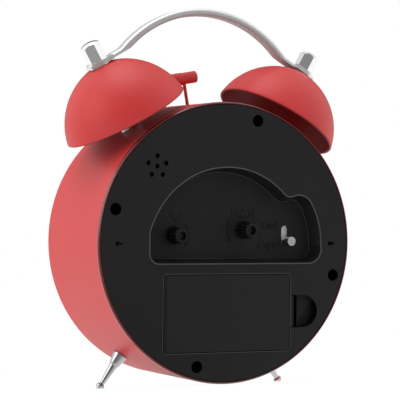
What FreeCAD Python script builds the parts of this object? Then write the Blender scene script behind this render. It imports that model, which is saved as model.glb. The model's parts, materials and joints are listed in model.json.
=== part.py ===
import FreeCAD, Part
import math
import os
import re

import Sketcher
from FreeCAD import Placement, Rotation, Vector

# Twin-bell quartz alarm clock, in millimetres.
# Clock frame while modelling: X to the right seen from the front, Y from the dial to the rear
# cover, Z up, origin at the middle of the rear cover's face. A depth is a distance in front of
# that face. At the end the whole clock leans back onto its two feet and its rear edge.

# Driving dimensions: name, value, what it is.
DIMENSIONS = [
    ("drum_radius", 58.0, "outside of the pressed drum"),
    ("drum_depth", 54.4, "rear cover face to front lip"),
    ("drum_sheet", 0.8, "wall of the drum"),
    ("face_radius", 50.5, "opening in the front lip"),
    ("rim_bevel", 0.35, "bevel on the drum's rear edge, across"),
    ("rim_length", 1.3, "the same bevel, along the drum"),
    ("running", 0.08, "radial clearance of a turning fit"),
    ("lens_thick", 1.8, "front glass"),
    ("lens_radius", 54.6, "front glass and dial"),
    ("dial_depth", 42.6, "depth of the dial's printed face"),
    ("dial_thick", 0.8, "dial sheet"),
    ("dial_bore", 4.6, "hole in the dial"),
    ("chassis_radius", 56.8, "plastic carrier behind the dial"),
    ("chassis_thick", 2.0, "carrier plate"),
    ("cover_radius", 57.15, "rear cover"),
    ("cover_thick", 2.0, "rear cover plate"),
    ("recess_depth", 7.0, "floor of the control recess"),
    ("recess_draft", 2.0, "slope of the recess wall over its depth"),
    ("recess_wall", 1.6, "wall and floor of the recess"),
    ("screw_circle", 52.4, "radius of the four cover screws' circle"),
    ("screw_first", 15.0, "angle of the first cover screw"),
    ("well_radius", 2.5, "deep hole over each cover screw"),
    ("well_outer", 3.5, "tube around that hole"),
    ("well_depth", 8.6, "depth at which the screw head sits"),
    ("well_floor", 1.4, "material under the screw head"),
    ("shank_radius", 1.2, "cover screw"),
    ("time_x", 21.4, "time-setting knob"),
    ("time_z", 2.9, "time-setting knob"),
    ("knob_base", 3.8, "knob radius near the cover"),
    ("knob_tip", 3.1, "knob radius at its tip"),
    ("knob_length", 7.6, "knob, along its shaft"),
    ("knob_lift", 0.45, "gap between knob and recess floor"),
    ("shaft_radius", 1.5, "setting shafts"),
    ("bay_left", -29.9, "battery opening, smaller x"),
    ("bay_right", 29.1, "battery opening, larger x"),
    ("bay_low", -44.95, "battery opening, lower edge"),
    ("bay_high", -12.75, "battery opening, upper edge"),
    ("bay_depth", 17.6, "floor of the battery bay"),
    ("bay_ledge", 0.75, "ledge under the door's long edges"),
    ("bay_wall", 1.5, "walls of the battery bay"),
    ("door_gap", 0.35, "gap around the door"),
    ("door_thick", 1.6, "battery door"),
    ("hinge_x", 28.0, "battery door hinge line"),
    ("hinge_depth", 0.95, "battery door hinge line"),
    ("cell_radius", 7.1, "AA cell"),
    ("cell_length", 49.2, "AA cell without its nub"),
    ("cell_depth", 9.3, "axis of the cells"),
    ("finger_x", -36.3, "middle of the round end of the finger recess"),
    ("finger_z", -28.6, "middle of the finger recess"),
    ("finger_radius", 6.7, "finger recess"),
    ("switch_x", -31.0, "alarm switch"),
    ("switch_rest", 0.65, "height of the switch pin at OFF"),
    ("switch_travel", 4.8, "switch pin from OFF to ON"),
    ("sound_x", 32.5, "middle of the sound holes"),
    ("sound_z", 31.0, "middle of the sound holes"),
    ("foot_angle", 55.0, "feet, below the horizontal"),
    ("foot_depth", 32.0, "feet, in front of the cover face"),
    ("foot_reach", 16.9, "foot, from the drum to the floor"),
    ("bell_radius", 26.7, "bell mouth"),
    ("bell_height", 23.9, "bell, mouth to crown"),
    ("bell_sheet", 0.9, "bell wall"),
    ("bell_tilt", 30.0, "bell axis from the vertical"),
    ("bell_root", 5.73, "where the bell axis meets the drum's middle height"),
    ("bell_depth", 24.6, "bell axis, in front of the cover face"),
    ("bell_mouth", 59.44, "bell mouth, along its axis"),
    ("handle_width", 6.0, "handle bar"),
    ("handle_bar", 3.1, "handle bar, across the arch"),
    ("tab_width", 10.0, "handle tabs"),
    ("handle_thick", 1.8, "handle tabs"),
    ("arch_radius", 49.0, "middle line of the handle arch"),
    ("arch_top", 97.4, "middle line at the top of the arch"),
    ("hammer_depth", 29.0, "plane in which the hammer swings"),
    ("hammer_pivot", 32.5, "height of the hammer's pivot"),
    ("hammer_reach", 37.0, "pivot to the middle of the hammer head"),
    ("hammer_lean", 10.7, "hammer's lean towards the first bell at rest"),
    ("hammer_rod", 0.7, "radius of the hammer rod"),
    ("head_radius", 2.5, "hammer head"),
    ("head_length", 11.2, "hammer head"),
    ("works_half", 28.0, "half the side of the movement's square case"),
    ("works_front", 41.6, "front of the movement's case"),
    ("works_wall", 1.5, "walls of the movement's case"),
    ("works_back", 25.5, "open edge of the movement's case"),
    ("gear_size", 0.4, "tooth size of the motion work"),
    ("train_size", 0.2, "tooth size of the going train"),
    ("arbor", 0.4, "thin arbors of the train"),
    ("second_arbor", 0.5, "arbor of the second hand"),
    ("centre_tube", 1.0, "outside of the driving tube"),
    ("minute_tube", 1.5, "outside of the minute tube"),
    ("hour_tube", 2.1, "outside of the hour tube"),
    ("alarm_tube", 2.8, "outside of the alarm tube"),
    ("bushing", 4.2, "threaded bushing through the dial"),
    ("lean", 6.0, "angle at which the clock leans back"),
    ("stand_y", 26.2, "shift that brings the footprint's middle to the origin"),
]
ALIASES = {alias for alias, number, note in DIMENSIONS}

doc = FreeCAD.newDocument("twin_bell_alarm_clock")
sheet = doc.addObject("Spreadsheet::Sheet", "Dims")
for row, (alias, number, note) in enumerate(DIMENSIONS, start=1):
    sheet.set("A%d" % row, note)
    sheet.set("B%d" % row, str(number))
    sheet.setAlias("B%d" % row, alias)
doc.recompute()

NODES = []


def cells(text):
    """Turn names of dimensions into references to the sheet."""
    return re.sub(r"[a-z_]+", lambda m: "Dims." + m.group() if m.group() in ALIASES else m.group(), str(text))


def num(text):
    return float(sheet.evalExpression(cells(text)))


def bind(obj, **sizes):
    for prop, text in sizes.items():
        obj.setExpression(prop, cells(text))
    return obj


def keep(obj, node, at=None):
    """Name a finished sub-part and set it in the clock frame."""
    obj.Label = node
    if at is not None:
        obj.Placement = at
    NODES.append(obj)
    return obj


# Sketches and features

def new_body(name):
    return doc.addObject("PartDesign::Body", name)


def sketch(body, role, depth=None):
    made = body.newObject("Sketcher::SketchObject", body.Name + "_sketch")
    plane = next(f for f in body.Origin.OriginFeatures if f.Role == role)
    made.AttachmentSupport = [(plane, "")]
    made.MapMode = "FlatFace"
    if depth is not None:
        made.setExpression("AttachmentOffset.Base.z", cells(depth))
    return made


def outline(made, corners):
    """Closed straight-sided outline, each corner bound to the sheet."""
    places = [Vector(num(a), num(b), 0) for a, b in corners]
    count = len(places)
    first = made.GeometryCount
    made.addGeometry([Part.LineSegment(places[i], places[(i + 1) % count]) for i in range(count)], False)
    for i in range(count):
        made.addConstraint(Sketcher.Constraint("Coincident", first + i, 2, first + (i + 1) % count, 1))
    for i, (a, b) in enumerate(corners):
        for kind, text, value in (("DistanceX", a, places[i].x), ("DistanceY", b, places[i].y)):
            slot = made.addConstraint(Sketcher.Constraint(kind, -1, 1, first + i, 1, value))
            made.setExpression("Constraints[%d]" % slot, cells(text))
    return made


def ring(made, radius, a="0", b="0"):
    """Circle with its radius and middle bound to the sheet."""
    first = made.GeometryCount
    made.addGeometry([Part.Circle(Vector(num(a), num(b), 0), Vector(0, 0, 1), num(radius))], False)
    for kind, args, text in (("Radius", (first,), radius),
                             ("DistanceX", (-1, 1, first, 3), a),
                             ("DistanceY", (-1, 1, first, 3), b)):
        slot = made.addConstraint(Sketcher.Constraint(kind, *args, num(text)))
        made.setExpression("Constraints[%d]" % slot, cells(text))
    return made


def rectangle(made, a0, b0, a1, b1):
    return outline(made, [(a0, b0), (a1, b0), (a1, b1), (a0, b1)])


def pad(body, made, thick):
    feature = body.newObject("PartDesign::Pad", body.Name + "_pad")
    feature.Profile = made
    return bind(feature, Length=thick)


def pocket(body, made, deep):
    """Cut towards the front of the clock."""
    feature = body.newObject("PartDesign::Pocket", body.Name + "_pocket")
    feature.Profile = made
    feature.Reversed = True
    return bind(feature, Length=deep)


def revolve(body, made):
    feature = body.newObject("PartDesign::Revolution", body.Name + "_turn")
    feature.Profile = made
    feature.ReferenceAxis = (made, ["V_Axis"])
    feature.Angle = 360
    return feature


def turned(name, corners):
    """Body turned about its own Y axis; corners are radius and y."""
    body = new_body(name)
    revolve(body, outline(sketch(body, "XY_Plane"), corners))
    return body


def cylinder(name, radius, length, at):
    solid = doc.addObject("Part::Cylinder", name)
    bind(solid, Radius=radius, Height=length)
    solid.Placement = at
    return solid


def box(name, x0, x1, depth0, depth1, z0, z1):
    """Box between two x, two depths (the smaller first) and two heights."""
    solid = doc.addObject("Part::Box", name)
    bind(solid, Length="(%s) - (%s)" % (x1, x0), Width="(%s) - (%s)" % (depth1, depth0),
         Height="(%s) - (%s)" % (z1, z0))
    solid.Placement = Placement(Vector(num(x0), -num(depth1), num(z0)), Rotation())
    return solid


def forward(x, depth, z):
    """Placement whose Z axis points to the front of the clock."""
    return Placement(Vector(num(x), -num(depth), num(z)), Rotation(Vector(1, 0, 0), 90))


def at_depth(x, depth, z):
    return Placement(Vector(num(x), -num(depth), num(z)), Rotation())


def along(start, direction, axis=Vector(0, 0, 1)):
    """Placement that turns the piece's own axis to a direction."""
    return Placement(start, Rotation(axis, direction))


def fuse(name, pieces):
    joined = doc.addObject("Part::MultiFuse", name)
    joined.Shapes = pieces
    joined.Refine = True
    return joined


def cut(name, base, tools):
    made = doc.addObject("Part::Cut", name)
    made.Base = base
    made.Tool = tools[0] if len(tools) == 1 else fuse(name + "_tools", tools)
    return made


def group(name, pieces):
    made = doc.addObject("Part::Compound", name)
    made.Links = pieces
    return made


def shaped(name, shape):
    made = doc.addObject("Part::Feature", name)
    made.Shape = shape
    return made


def on_circle(radius, degrees):
    angle = math.radians(degrees)
    return radius * math.cos(angle), radius * math.sin(angle)


SIDES = (("left", -1), ("right", 1))
UP = Vector(0, 0, 1)
FORWARD = Vector(0, -1, 0)
ACROSS = Vector(1, 0, 0)


# Directions of the feet and the bells

def foot_line(side):
    """Start on the drum's axis and outward direction of a foot."""
    angle = math.radians(num("foot_angle"))
    return Vector(0, -num("foot_depth"), 0), Vector(side * math.cos(angle), 0, -math.sin(angle))


def bell_line(side):
    """Start at the drum's middle height and outward direction of a bell's axis."""
    tilt = math.radians(num("bell_tilt"))
    start = Vector(side * num("bell_root"), -num("bell_depth"), 0)
    return start, Vector(side * math.sin(tilt), 0, math.cos(tilt))


def drum_core(name, radius):
    """Solid cylinder of the drum, used to shape what sits on it."""
    return cylinder(name, radius, "drum_depth", forward("0", "0", "0"))


# Drum

ROUND_OUT = 2.5
SLOT_HALF = 7.2
SLOT_WIDE = 3.4
STUD = 2.0
STUD_HOLE = 2.15


def drum_profile():
    """Pressed sheet with a rounded front edge, an inward lip and a bevelled rear edge."""
    outer = num("drum_radius")
    wall = num("drum_sheet")
    front = -num("drum_depth")
    middle = Vector(outer - ROUND_OUT, front + ROUND_OUT, 0)
    diagonal = Vector(math.sqrt(0.5), -math.sqrt(0.5), 0)
    corners = [
        Vector(outer - wall, 0, 0),
        Vector(outer - num("rim_bevel"), 0, 0),
        Vector(outer, -num("rim_length"), 0),
        Vector(outer, middle.y, 0),
        Vector(middle.x, front, 0),
        Vector(num("face_radius"), front, 0),
        Vector(num("face_radius"), front + wall, 0),
        Vector(middle.x, front + wall, 0),
        Vector(outer - wall, middle.y, 0),
    ]
    edges = []
    for i, start in enumerate(corners):
        end = corners[(i + 1) % len(corners)]
        if i == 3:
            edges.append(Part.Arc(start, middle + diagonal * ROUND_OUT, end))
        elif i == 7:
            edges.append(Part.Arc(start, middle + diagonal * (ROUND_OUT - wall), end))
        else:
            edges.append(Part.LineSegment(start, end))
    return edges


def make_drum():
    body = new_body("drum_shell")
    profile = sketch(body, "XY_Plane")
    profile.addGeometry(drum_profile(), False)
    revolve(body, profile)
    tools = [box("striker_slot", -SLOT_HALF, SLOT_HALF, "hammer_depth - %g" % (SLOT_WIDE / 2),
                 "hammer_depth + %g" % (SLOT_WIDE / 2), "drum_radius - 6", "drum_radius + 1")]
    for name, side in SIDES:
        start, way = foot_line(side)
        tools.append(cylinder("foot_hole_" + name, STUD_HOLE, 10, along(start + way * 52, way)))
        start, way = bell_line(side)
        tools.append(cylinder("bell_hole_" + name, STUD_HOLE, 14, along(start + way * 48, way)))
    keep(cut("drum_cut", body, tools), "case_drum")


# Small screws of one size hold the movement and the striker; they share one node.

SMALL_SCREW = 0.9
SCREW_HEAD = 1.7
HEAD_THICK = 1.0
SMALL_SCREWS = []
BRACKET_SCREWS = (-14.0, 5.2)
INNER_NUTS = []
LEADS = []

# Front glass, dial and the carrier behind the dial

PILLAR = 3.3
PILLAR_BORE_DEPTH = 19.0
EAR_REACH = 6.0
EAR_HALF = 4.0
EAR_THICK = 1.8


def screw_places():
    return [on_circle(num("screw_circle"), num("screw_first") + 90 * i) for i in range(4)]


def ear_places():
    """Screws that hold the movement to the carrier, left and right of it."""
    return ["%d * (works_half + %g)" % (side, EAR_REACH / 2 + 0.4) for side in (-1, 1)]


def make_front():
    place = forward("0", "drum_depth - drum_sheet - lens_thick", "0")
    keep(cylinder("lens", "lens_radius", "lens_thick", place), "front_lens")

    lens_back = "-drum_depth + drum_sheet + lens_thick"
    corners = [("lens_radius", lens_back), ("lens_radius", "-dial_depth"),
               ("face_radius - 1", "-dial_depth"), ("face_radius + 0.4", lens_back)]
    keep(turned("sloped_ring", corners), "dial_ring")

    body = new_body("dial_sheet")
    face = sketch(body, "XZ_Plane", "dial_depth - dial_thick")
    ring(face, "lens_radius")
    ring(face, "dial_bore")
    pad(body, face, "dial_thick")
    keep(body, "dial")


def make_chassis():
    body = new_body("chassis_plate")
    flat = sketch(body, "XZ_Plane", "dial_depth - dial_thick - chassis_thick")
    ring(flat, "chassis_radius")
    half = "works_half + 0.4"
    rectangle(flat, "-(%s)" % half, "-(%s)" % half, half, half)
    pad(body, flat, "chassis_thick")
    pillars = sketch(body, "XZ_Plane", "well_depth + well_floor")
    for x, z in screw_places():
        ring(pillars, PILLAR, x, z)
    pad(body, pillars, "dial_depth - dial_thick - chassis_thick / 2 - well_depth - well_floor")
    bores = sketch(body, "XZ_Plane", "well_depth + well_floor")
    for x, z in screw_places():
        ring(bores, "shank_radius", x, z)
    pocket(body, bores, PILLAR_BORE_DEPTH - num("well_depth + well_floor"))
    ears = sketch(body, "XZ_Plane", "dial_depth - dial_thick - chassis_thick")
    for x in ear_places():
        ring(ears, SMALL_SCREW, x)
    pocket(body, ears, "chassis_thick")
    keep(body, "chassis")

    seat = "dial_depth - dial_thick - chassis_thick - %g" % EAR_THICK
    length = "chassis_thick + %g" % (EAR_THICK - 0.2)
    for x in ear_places():
        shank = cylinder("ear_shank", SMALL_SCREW, length, forward(x, seat, "0"))
        head = cylinder("ear_head", SCREW_HEAD, HEAD_THICK, forward(x, "%s - %g" % (seat, HEAD_THICK), "0"))
        SMALL_SCREWS.append(fuse("ear_screw", [shank, head]))


# Rear cover

SOUND_HOLE = 1.0
SOUND_CIRCLE = 4.2
SOUND_COUNT = 5
SOUNDER_RADIUS = 8.0
SOUNDER_THICK = 5.2
SLOT_X = 1.8
PIN = 0.5
PIN_REACH = 1.0
LATCH_HALF = 6.4
LATCH_REACH = 2.1
LATCH_POCKET = 4.6
LATCH_DEPTH = 6.0
SCOOP_DEPTH = 2.6


def recess_outline(inset, depth):
    """Edge of the control recess: a half round with a bulge around the switch.

    Each point has the angle of the edge's outward normal, so that the same outline serves at
    the rear face, at the sloped wall's foot and outside the wall.
    """
    middle = Vector(-0.3, 0, -6.5)
    radius = 37.6
    arch = [(middle.x + on_circle(radius, a)[0], middle.z + on_circle(radius, a)[1], a) for a in (75, 134)]
    right, low = 35.4, -8.5
    places = {
        "side_low": (right, -4.0, 0),
        "side_high": (right, 4.0, 8),
        "arch_top": arch[0],
        "arch_end": arch[1],
        "notch": (-28.6, 19.3, 110),
        "crest_start": (-31.2, 19.6, 88),
        "crest": (-36.2, 19.6, 118),
        "crest_end": (-39.8, 16.4, 150),
        "bulge": (-43.3, 8.0, 164),
        "bulge_end": (-44.4, -1.0, 178),
        "far_corner": (-43.0, -6.6, 225),
        "floor_start": (-38.6, low, 270),
        "floor_end": (31.0, low, 270),
        "near_corner": (34.1, -7.2, 315),
    }
    at = {}
    for name, (x, z, normal) in places.items():
        dx, dz = on_circle(inset, normal)
        at[name] = Vector(x - dx, -depth, z - dz)
    arcs = [("side_high", "arch_top", "arch_end"), ("arch_end", "notch", "crest_start"),
            ("crest_start", "crest", "crest_end"), ("crest_end", "bulge", "bulge_end"),
            ("bulge_end", "far_corner", "floor_start")]
    edges = [Part.LineSegment(at["side_low"], at["side_high"]).toShape()]
    edges += [Part.Arc(at[a], at[b], at[c]).toShape() for a, b, c in arcs]
    edges.append(Part.LineSegment(at["floor_start"], at["floor_end"]).toShape())
    edges.append(Part.Arc(at["floor_end"], at["near_corner"], at["side_low"]).toShape())
    return Part.Wire(edges)


def recess_solid(name, inset, depth0, depth1):
    """Sloped block between two depths; inset is measured at the rear face."""
    slope = num("recess_draft") / num("recess_depth")
    wires = [recess_outline(inset + slope * d, d) for d in (depth0, depth1)]
    return shaped(name, Part.makeLoft(wires, True, True))


def sound_places():
    places = [(num("sound_x"), num("sound_z"))]
    for i in range(SOUND_COUNT):
        dx, dz = on_circle(SOUND_CIRCLE, 90 + 360 / SOUND_COUNT * i)
        places.append((num("sound_x") + dx, num("sound_z") + dz))
    return places


def knob_places():
    return {"time": (num("time_x"), num("time_z")), "alarm": alarm_place()}


def make_cover():
    bevel = 0.4
    plate = turned("cover_plate", [("0", "0"), ("cover_radius - %g" % bevel, "0"), ("cover_radius", -bevel),
                                   ("cover_radius", "-cover_thick"), ("0", "-cover_thick")])
    floor = num("recess_depth + recess_wall")
    finger = "finger_z"
    solids = [
        plate,
        recess_solid("recess_tub", -num("recess_wall"), 1.0, floor),
        box("bay_box", "bay_left - bay_wall", "bay_right + bay_wall", 1, "bay_depth + bay_wall",
            "bay_low - bay_wall", "bay_high + bay_wall"),
        box("latch_box", "bay_left - %g" % (LATCH_POCKET + 1.4), "bay_left", 1, LATCH_DEPTH + 1.4,
            finger + " - %g" % (LATCH_HALF + 1.8), finger + " + %g" % (LATCH_HALF + 1.8)),
        cylinder("scoop_boss", "finger_radius + 1.4", SCOOP_DEPTH + 0.4, forward("finger_x", 1, finger)),
        cylinder("sound_boss", SOUNDER_RADIUS + 1.6, 4, forward("sound_x", 1, "sound_z")),
    ]
    well_bottom = num("well_depth + well_floor")
    for x, z in screw_places():
        solids.append(cylinder("well_tube", "well_outer", well_bottom - 1, forward(x, 1, z)))

    bay = [
        box("door_opening", "bay_left", "bay_right", -1, "door_thick + 0.4", "bay_low", "bay_high"),
        box("bay_inside", "bay_left", "bay_right", 1, "bay_depth",
            "bay_low + bay_ledge", "bay_high - bay_ledge"),
        box("latch_pocket", "bay_left - %g" % LATCH_POCKET, "bay_left + 1", -1, LATCH_DEPTH,
            finger + " - %g" % (LATCH_HALF + 0.4), finger + " + %g" % (LATCH_HALF + 0.4)),
        box("scoop_flat", "finger_x", "bay_left - 1", -1, SCOOP_DEPTH, finger + " - finger_radius",
            finger + " + finger_radius"),
        cylinder("scoop_round", "finger_radius", SCOOP_DEPTH + 1, forward("finger_x", -1, finger)),
        cylinder("hinge_holes", PIN + num("running"), "bay_high - bay_low + %g" % (2 * PIN_REACH + 0.4),
                 along(Vector(num("hinge_x"), -num("hinge_depth"), num("bay_low") - PIN_REACH - 0.2), UP)),
    ]
    controls = [
        recess_solid("recess", 0.0, 0.0, num("recess_depth")),
        box("switch_slot", "switch_x - %g" % SLOT_X, "switch_x + %g" % SLOT_X, "recess_depth - 1", floor + 1,
            "switch_rest", "switch_rest + switch_travel"),
        cylinder("slot_low_end", SLOT_X, floor, forward("switch_x", 1, "switch_rest")),
        cylinder("slot_high_end", SLOT_X, floor, forward("switch_x", 1, "switch_rest + switch_travel")),
    ]
    for x, z in knob_places().values():
        controls.append(cylinder("knob_hole", "shaft_radius + running", floor, forward(x, 1, z)))
    holes = [cylinder("sounder_seat", SOUNDER_RADIUS + 0.1, 4, forward("sound_x", "cover_thick", "sound_z"))]
    for x, z in sound_places():
        holes.append(cylinder("sound_hole", SOUND_HOLE, "cover_thick + 1", forward(x, -0.5, z)))
    for x, z in screw_places():
        holes.append(cylinder("well", "well_radius", "well_depth + 1", forward(x, -1, z)))
        holes.append(cylinder("well_bore", "shank_radius + 0.15", well_bottom, forward(x, 1, z)))
    keep(cut("cover", fuse("cover_solids", solids), bay + controls + holes), "rear_cover")

    screws = []
    for x, z in screw_places():
        shank = cylinder("cover_shank", "shank_radius", PILLAR_BORE_DEPTH - 1 - num("well_depth"),
                         forward(x, "well_depth", z))
        head = cylinder("cover_head", "well_radius - 0.3", 1.8, forward(x, "well_depth - 1.8", z))
        cross = [box("cross_a", x - 1.4, x + 1.4, "well_depth - 2", "well_depth - 1", z - 0.25, z + 0.25),
                 box("cross_b", x - 0.25, x + 0.25, "well_depth - 2", "well_depth - 1", z - 1.4, z + 1.4)]
        screws.append(cut("cover_screw", fuse("cover_screw_solid", [shank, head]), cross))
    keep(group("cover_screw_group", screws), "cover_screws")


# Battery door, cells and contacts

def make_door():
    low, high = "bay_low + door_gap", "bay_high - door_gap"
    plate = box("door_plate", "bay_left + door_gap", "hinge_x - 0.4", 0, "door_thick", low, high)
    latch_low, latch_high = "finger_z - %g" % LATCH_HALF, "finger_z + %g" % LATCH_HALF
    edge = "bay_left + door_gap"
    tongue = box("door_tongue", edge + " - %g" % LATCH_REACH, edge + " + 1", 0.3, "door_thick",
                 latch_low, latch_high)
    spring = box("door_latch", edge + " - %g" % (LATCH_REACH - 0.3), edge + " - %g" % (LATCH_REACH - 1.2),
                 1, LATCH_DEPTH - 1, latch_low + " + 2", latch_high + " - 2")
    length = "bay_high - bay_low - 2 * door_gap"
    start = Vector(num("hinge_x"), -num("hinge_depth"), num(low))
    barrel = cylinder("door_barrel", 0.8, length, along(start, UP))
    pins = cylinder("door_pins", PIN, length + " + 2 * door_gap + %g" % (2 * PIN_REACH),
                    along(start - UP * (num("door_gap") + PIN_REACH), UP))
    keep(fuse("door", [plate, tongue, spring, barrel, pins]), "battery_door")


NUB_RADIUS = 2.7
NUB_LENGTH = 1.0
SPRING_TURNS = 4
SPRING_WIRE = 0.4


def cell_heights():
    middle = (num("bay_low") + num("bay_high")) / 2
    step = num("cell_radius") + 0.3
    return {"upper": middle + step, "lower": middle - step}


def contact_spring(name, x, z, side):
    """Tapered compression spring from a contact plate to a cell's flat end."""
    length = 5.4
    pitch = length / SPRING_TURNS
    helix = Part.makeHelix(pitch, length, 3.6, 6)
    wire = Part.Wire(Part.makeCircle(SPRING_WIRE, Vector(3.6, 0, 0), Vector(0, 1, 0)))
    spring = Part.Wire(helix).makePipeShell([wire], True, True)
    made = shaped(name, spring)
    made.Placement = along(Vector(x, -num("cell_depth"), z), Vector(side, 0, 0))
    return made


def make_cells():
    heights = cell_heights()
    plus_end = num("bay_right") - 0.9
    minus_end = num("bay_left") + 0.9
    for name, side in (("upper", 1), ("lower", -1)):
        nub_tip = plus_end if side > 0 else minus_end
        back_end = nub_tip - side * (num("cell_length") + NUB_LENGTH)
        start = Vector(back_end, -num("cell_depth"), heights[name])
        way = Vector(side, 0, 0)
        can = cylinder("can_" + name, "cell_radius", "cell_length", along(start, way))
        nub = cylinder("nub_" + name, NUB_RADIUS, NUB_LENGTH, along(start + way * num("cell_length"), way))
        keep(fuse("cell_" + name, [can, nub]), "battery_" + name)

    plate_half = 5.4
    thick = 0.5
    depth0, depth1 = num("cell_depth") - plate_half, num("cell_depth") + plate_half
    right, left = num("bay_right"), num("bay_left")
    bump = cylinder("plus_bump", 2.2, plus_end * -1 + right - thick,
                    along(Vector(plus_end, -num("cell_depth"), heights["upper"]), Vector(1, 0, 0)))
    plus = fuse("contact_a", [box("plus_plate", right - thick, right, depth0, depth1,
                                  heights["upper"] - plate_half, heights["upper"] + plate_half), bump])
    minus = box("minus_plate", right - thick, right, depth0, depth1,
                heights["lower"] - plate_half, heights["lower"] + plate_half)
    keep(group("contact_plates", [plus, minus]), "contact_pair")
    bump = cylinder("link_bump", 2.2, minus_end - left - thick,
                    along(Vector(minus_end, -num("cell_depth"), heights["lower"]), Vector(-1, 0, 0)))
    link = fuse("contact_b", [box("link_plate", left, left + thick, depth0, depth1,
                                  heights["lower"] - plate_half, heights["upper"] + plate_half), bump])
    keep(link, "contact_link")
    springs = [contact_spring("spring_upper", left + thick + SPRING_WIRE, heights["upper"], 1),
               contact_spring("spring_lower", right - thick - SPRING_WIRE, heights["lower"], -1)]
    keep(group("spring_pair", springs), "contact_springs")


# Knobs and their shafts

def alarm_place():
    """The alarm knob's pinion meshes with the alarm wheel at this place."""
    return on_circle(num("gear_size") * (WHEEL + ALARM_PINION) / 2, 154.3)


def minute_place():
    """The minute wheel meshes with the centre pinion and with the time knob's pinion."""
    reach = num("gear_size") * (MINUTE_WHEEL + CENTRE_PINION) / 2
    time = Vector(num("time_x"), num("time_z"), 0)
    aside = math.sqrt(reach ** 2 - (time.Length / 2) ** 2)
    place = time * 0.5 + Vector(time.y, -time.x, 0).normalize() * aside
    return place.x, place.y


def make_knobs():
    ribs = 18
    groove = 0.38
    for name, (x, z) in knob_places().items():
        base = "recess_depth - knob_lift"
        lean = math.degrees(math.atan((num("knob_base") - num("knob_tip")) / num("knob_length")))
        cone = doc.addObject("Part::Cone", name + "_cone")
        bind(cone, Radius1="knob_base", Radius2="knob_tip", Height="knob_length")
        outward = Rotation(Vector(1, 0, 0), -90)
        cone.Placement = Placement(Vector(x, -num(base), z), outward)
        deep = Placement(Vector(x, -num(base) - 1, z), outward)
        shallow = Placement(Vector(x, -num(base + " - knob_length + 2.2"), z), outward)
        tools = [cylinder(name + "_bore", "shaft_radius", "knob_length + 2", deep),
                 cylinder(name + "_hollow", "knob_tip - 0.8", 3, shallow)]
        for i in range(ribs):
            turn = Rotation(Vector(0, 1, 0), 360 / ribs * i)
            tilt = Rotation(Vector(0, 0, 1), lean)
            radius = num("knob_base") + 0.08
            spot = Vector(x, -num(base) - 0.5, z) + turn.multVec(Vector(radius, 0, 0))
            tools.append(cylinder(name + "_groove", groove, "knob_length + 1",
                                  Placement(spot, turn.multiply(tilt).multiply(outward))))
        keep(cut(name + "_knob_cut", cone, tools), name + "_knob")


# Gears

POST = 0.8
WHEEL = 48
CENTRE_PINION = 15
MINUTE_WHEEL = 45
MINUTE_PINION = 12
ALARM_PINION = 12
TIME_PINION = 15
SECOND_PINION = 8
THIRD_WHEEL = 64
THIRD_PINION = 8
CENTRE_WHEEL = 60
SECOND_WHEEL = 60
MOTOR_PINION = 10
MOTOR_WHEEL = 50
ROTOR_PINION = 10
THIRD_DIRECTION = 90
MOTOR_DIRECTION = -100

# Parts of the tooth pitch that a tooth fills at its root, and at its tip.
TOOTH_ROOT = 0.56
TOOTH_TIP = 0.20
ADDENDUM = 0.85
DEDENDUM = 1.2


def teeth(made, count, size, phase):
    """Toothed outline; phase is the angle of one tooth's middle in degrees."""
    pitch_radius = count * size / 2
    pitch = 360 / count
    places = []
    root, tip = pitch_radius - DEDENDUM * size, pitch_radius + ADDENDUM * size
    for i in range(count):
        middle = phase + i * pitch
        for radius, share in ((root, -TOOTH_ROOT), (tip, -TOOTH_TIP), (tip, TOOTH_TIP), (root, TOOTH_ROOT)):
            x, z = on_circle(radius, middle + share * pitch / 2)
            places.append(Vector(x, z, 0))
    made.addGeometry([Part.LineSegment(places[i - 1], places[i]) for i in range(len(places))], False)
    return made


def follow(phase, count, other_count, direction):
    """Phase of a gear that meshes with a given gear lying in the opposite direction."""
    pitch = 360 / count
    share = ((direction - phase) % pitch) / pitch
    return direction + 180 + (share + 0.5) * 360 / other_count


def direction_to(a, b):
    return math.degrees(math.atan2(b[1] - a[1], b[0] - a[0]))


def layer(body, start, thick, count=None, size=None, phase=0, radius=None, bore=None):
    """One disc of a gear body, toothed or plain, with a bore if one is given."""
    made = sketch(body, "XZ_Plane", start)
    if count:
        teeth(made, count, num(size), phase)
    else:
        ring(made, radius)
    if bore is not None:
        ring(made, bore)
    pad(body, made, thick)


CENTRE = (0.0, 0.0)


def third_place():
    return on_circle(num("train_size") * (SECOND_PINION + THIRD_WHEEL) / 2, THIRD_DIRECTION)


def motor_wheel_place():
    return on_circle(num("train_size") * (SECOND_WHEEL + MOTOR_PINION) / 2, MOTOR_DIRECTION)


def rotor_place():
    x, z = motor_wheel_place()
    dx, dz = on_circle(num("train_size") * (MOTOR_WHEEL + ROTOR_PINION) / 2, MOTOR_DIRECTION)
    return x + dx, z + dz


# Where each wheel's layer starts and how thick it is, and where its tube or arbor ends.
TRAIN_BACK = 24.6
TRAIN_FRONT = 33.6
THIN = 0.6
THICK = 1.4
PINION_LENGTH = 1.0
ALARM_LAYER = 38.5
ALARM_END = 44.8
HOUR_LAYER = 36.5
HOUR_END = 46.0
CANNON_LAYER = 34.4
CANNON_LENGTH = 1.6
MINUTE_END = 47.2
SECOND_END = 48.3
CENTRE_END = 45.0
SHAFT_END = 40.9
SHAFT_TIP = "recess_depth - knob_lift - knob_length + 2.6"
# Neighbouring layers of one piece overlap by this much.
JOIN = 0.1


def tube(body, start, end, radius, bore=None):
    """Plain round length of a gear body between two depths."""
    layer(body, start, "%s - (%s)" % (end, start), radius=radius, bore=bore)


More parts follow.
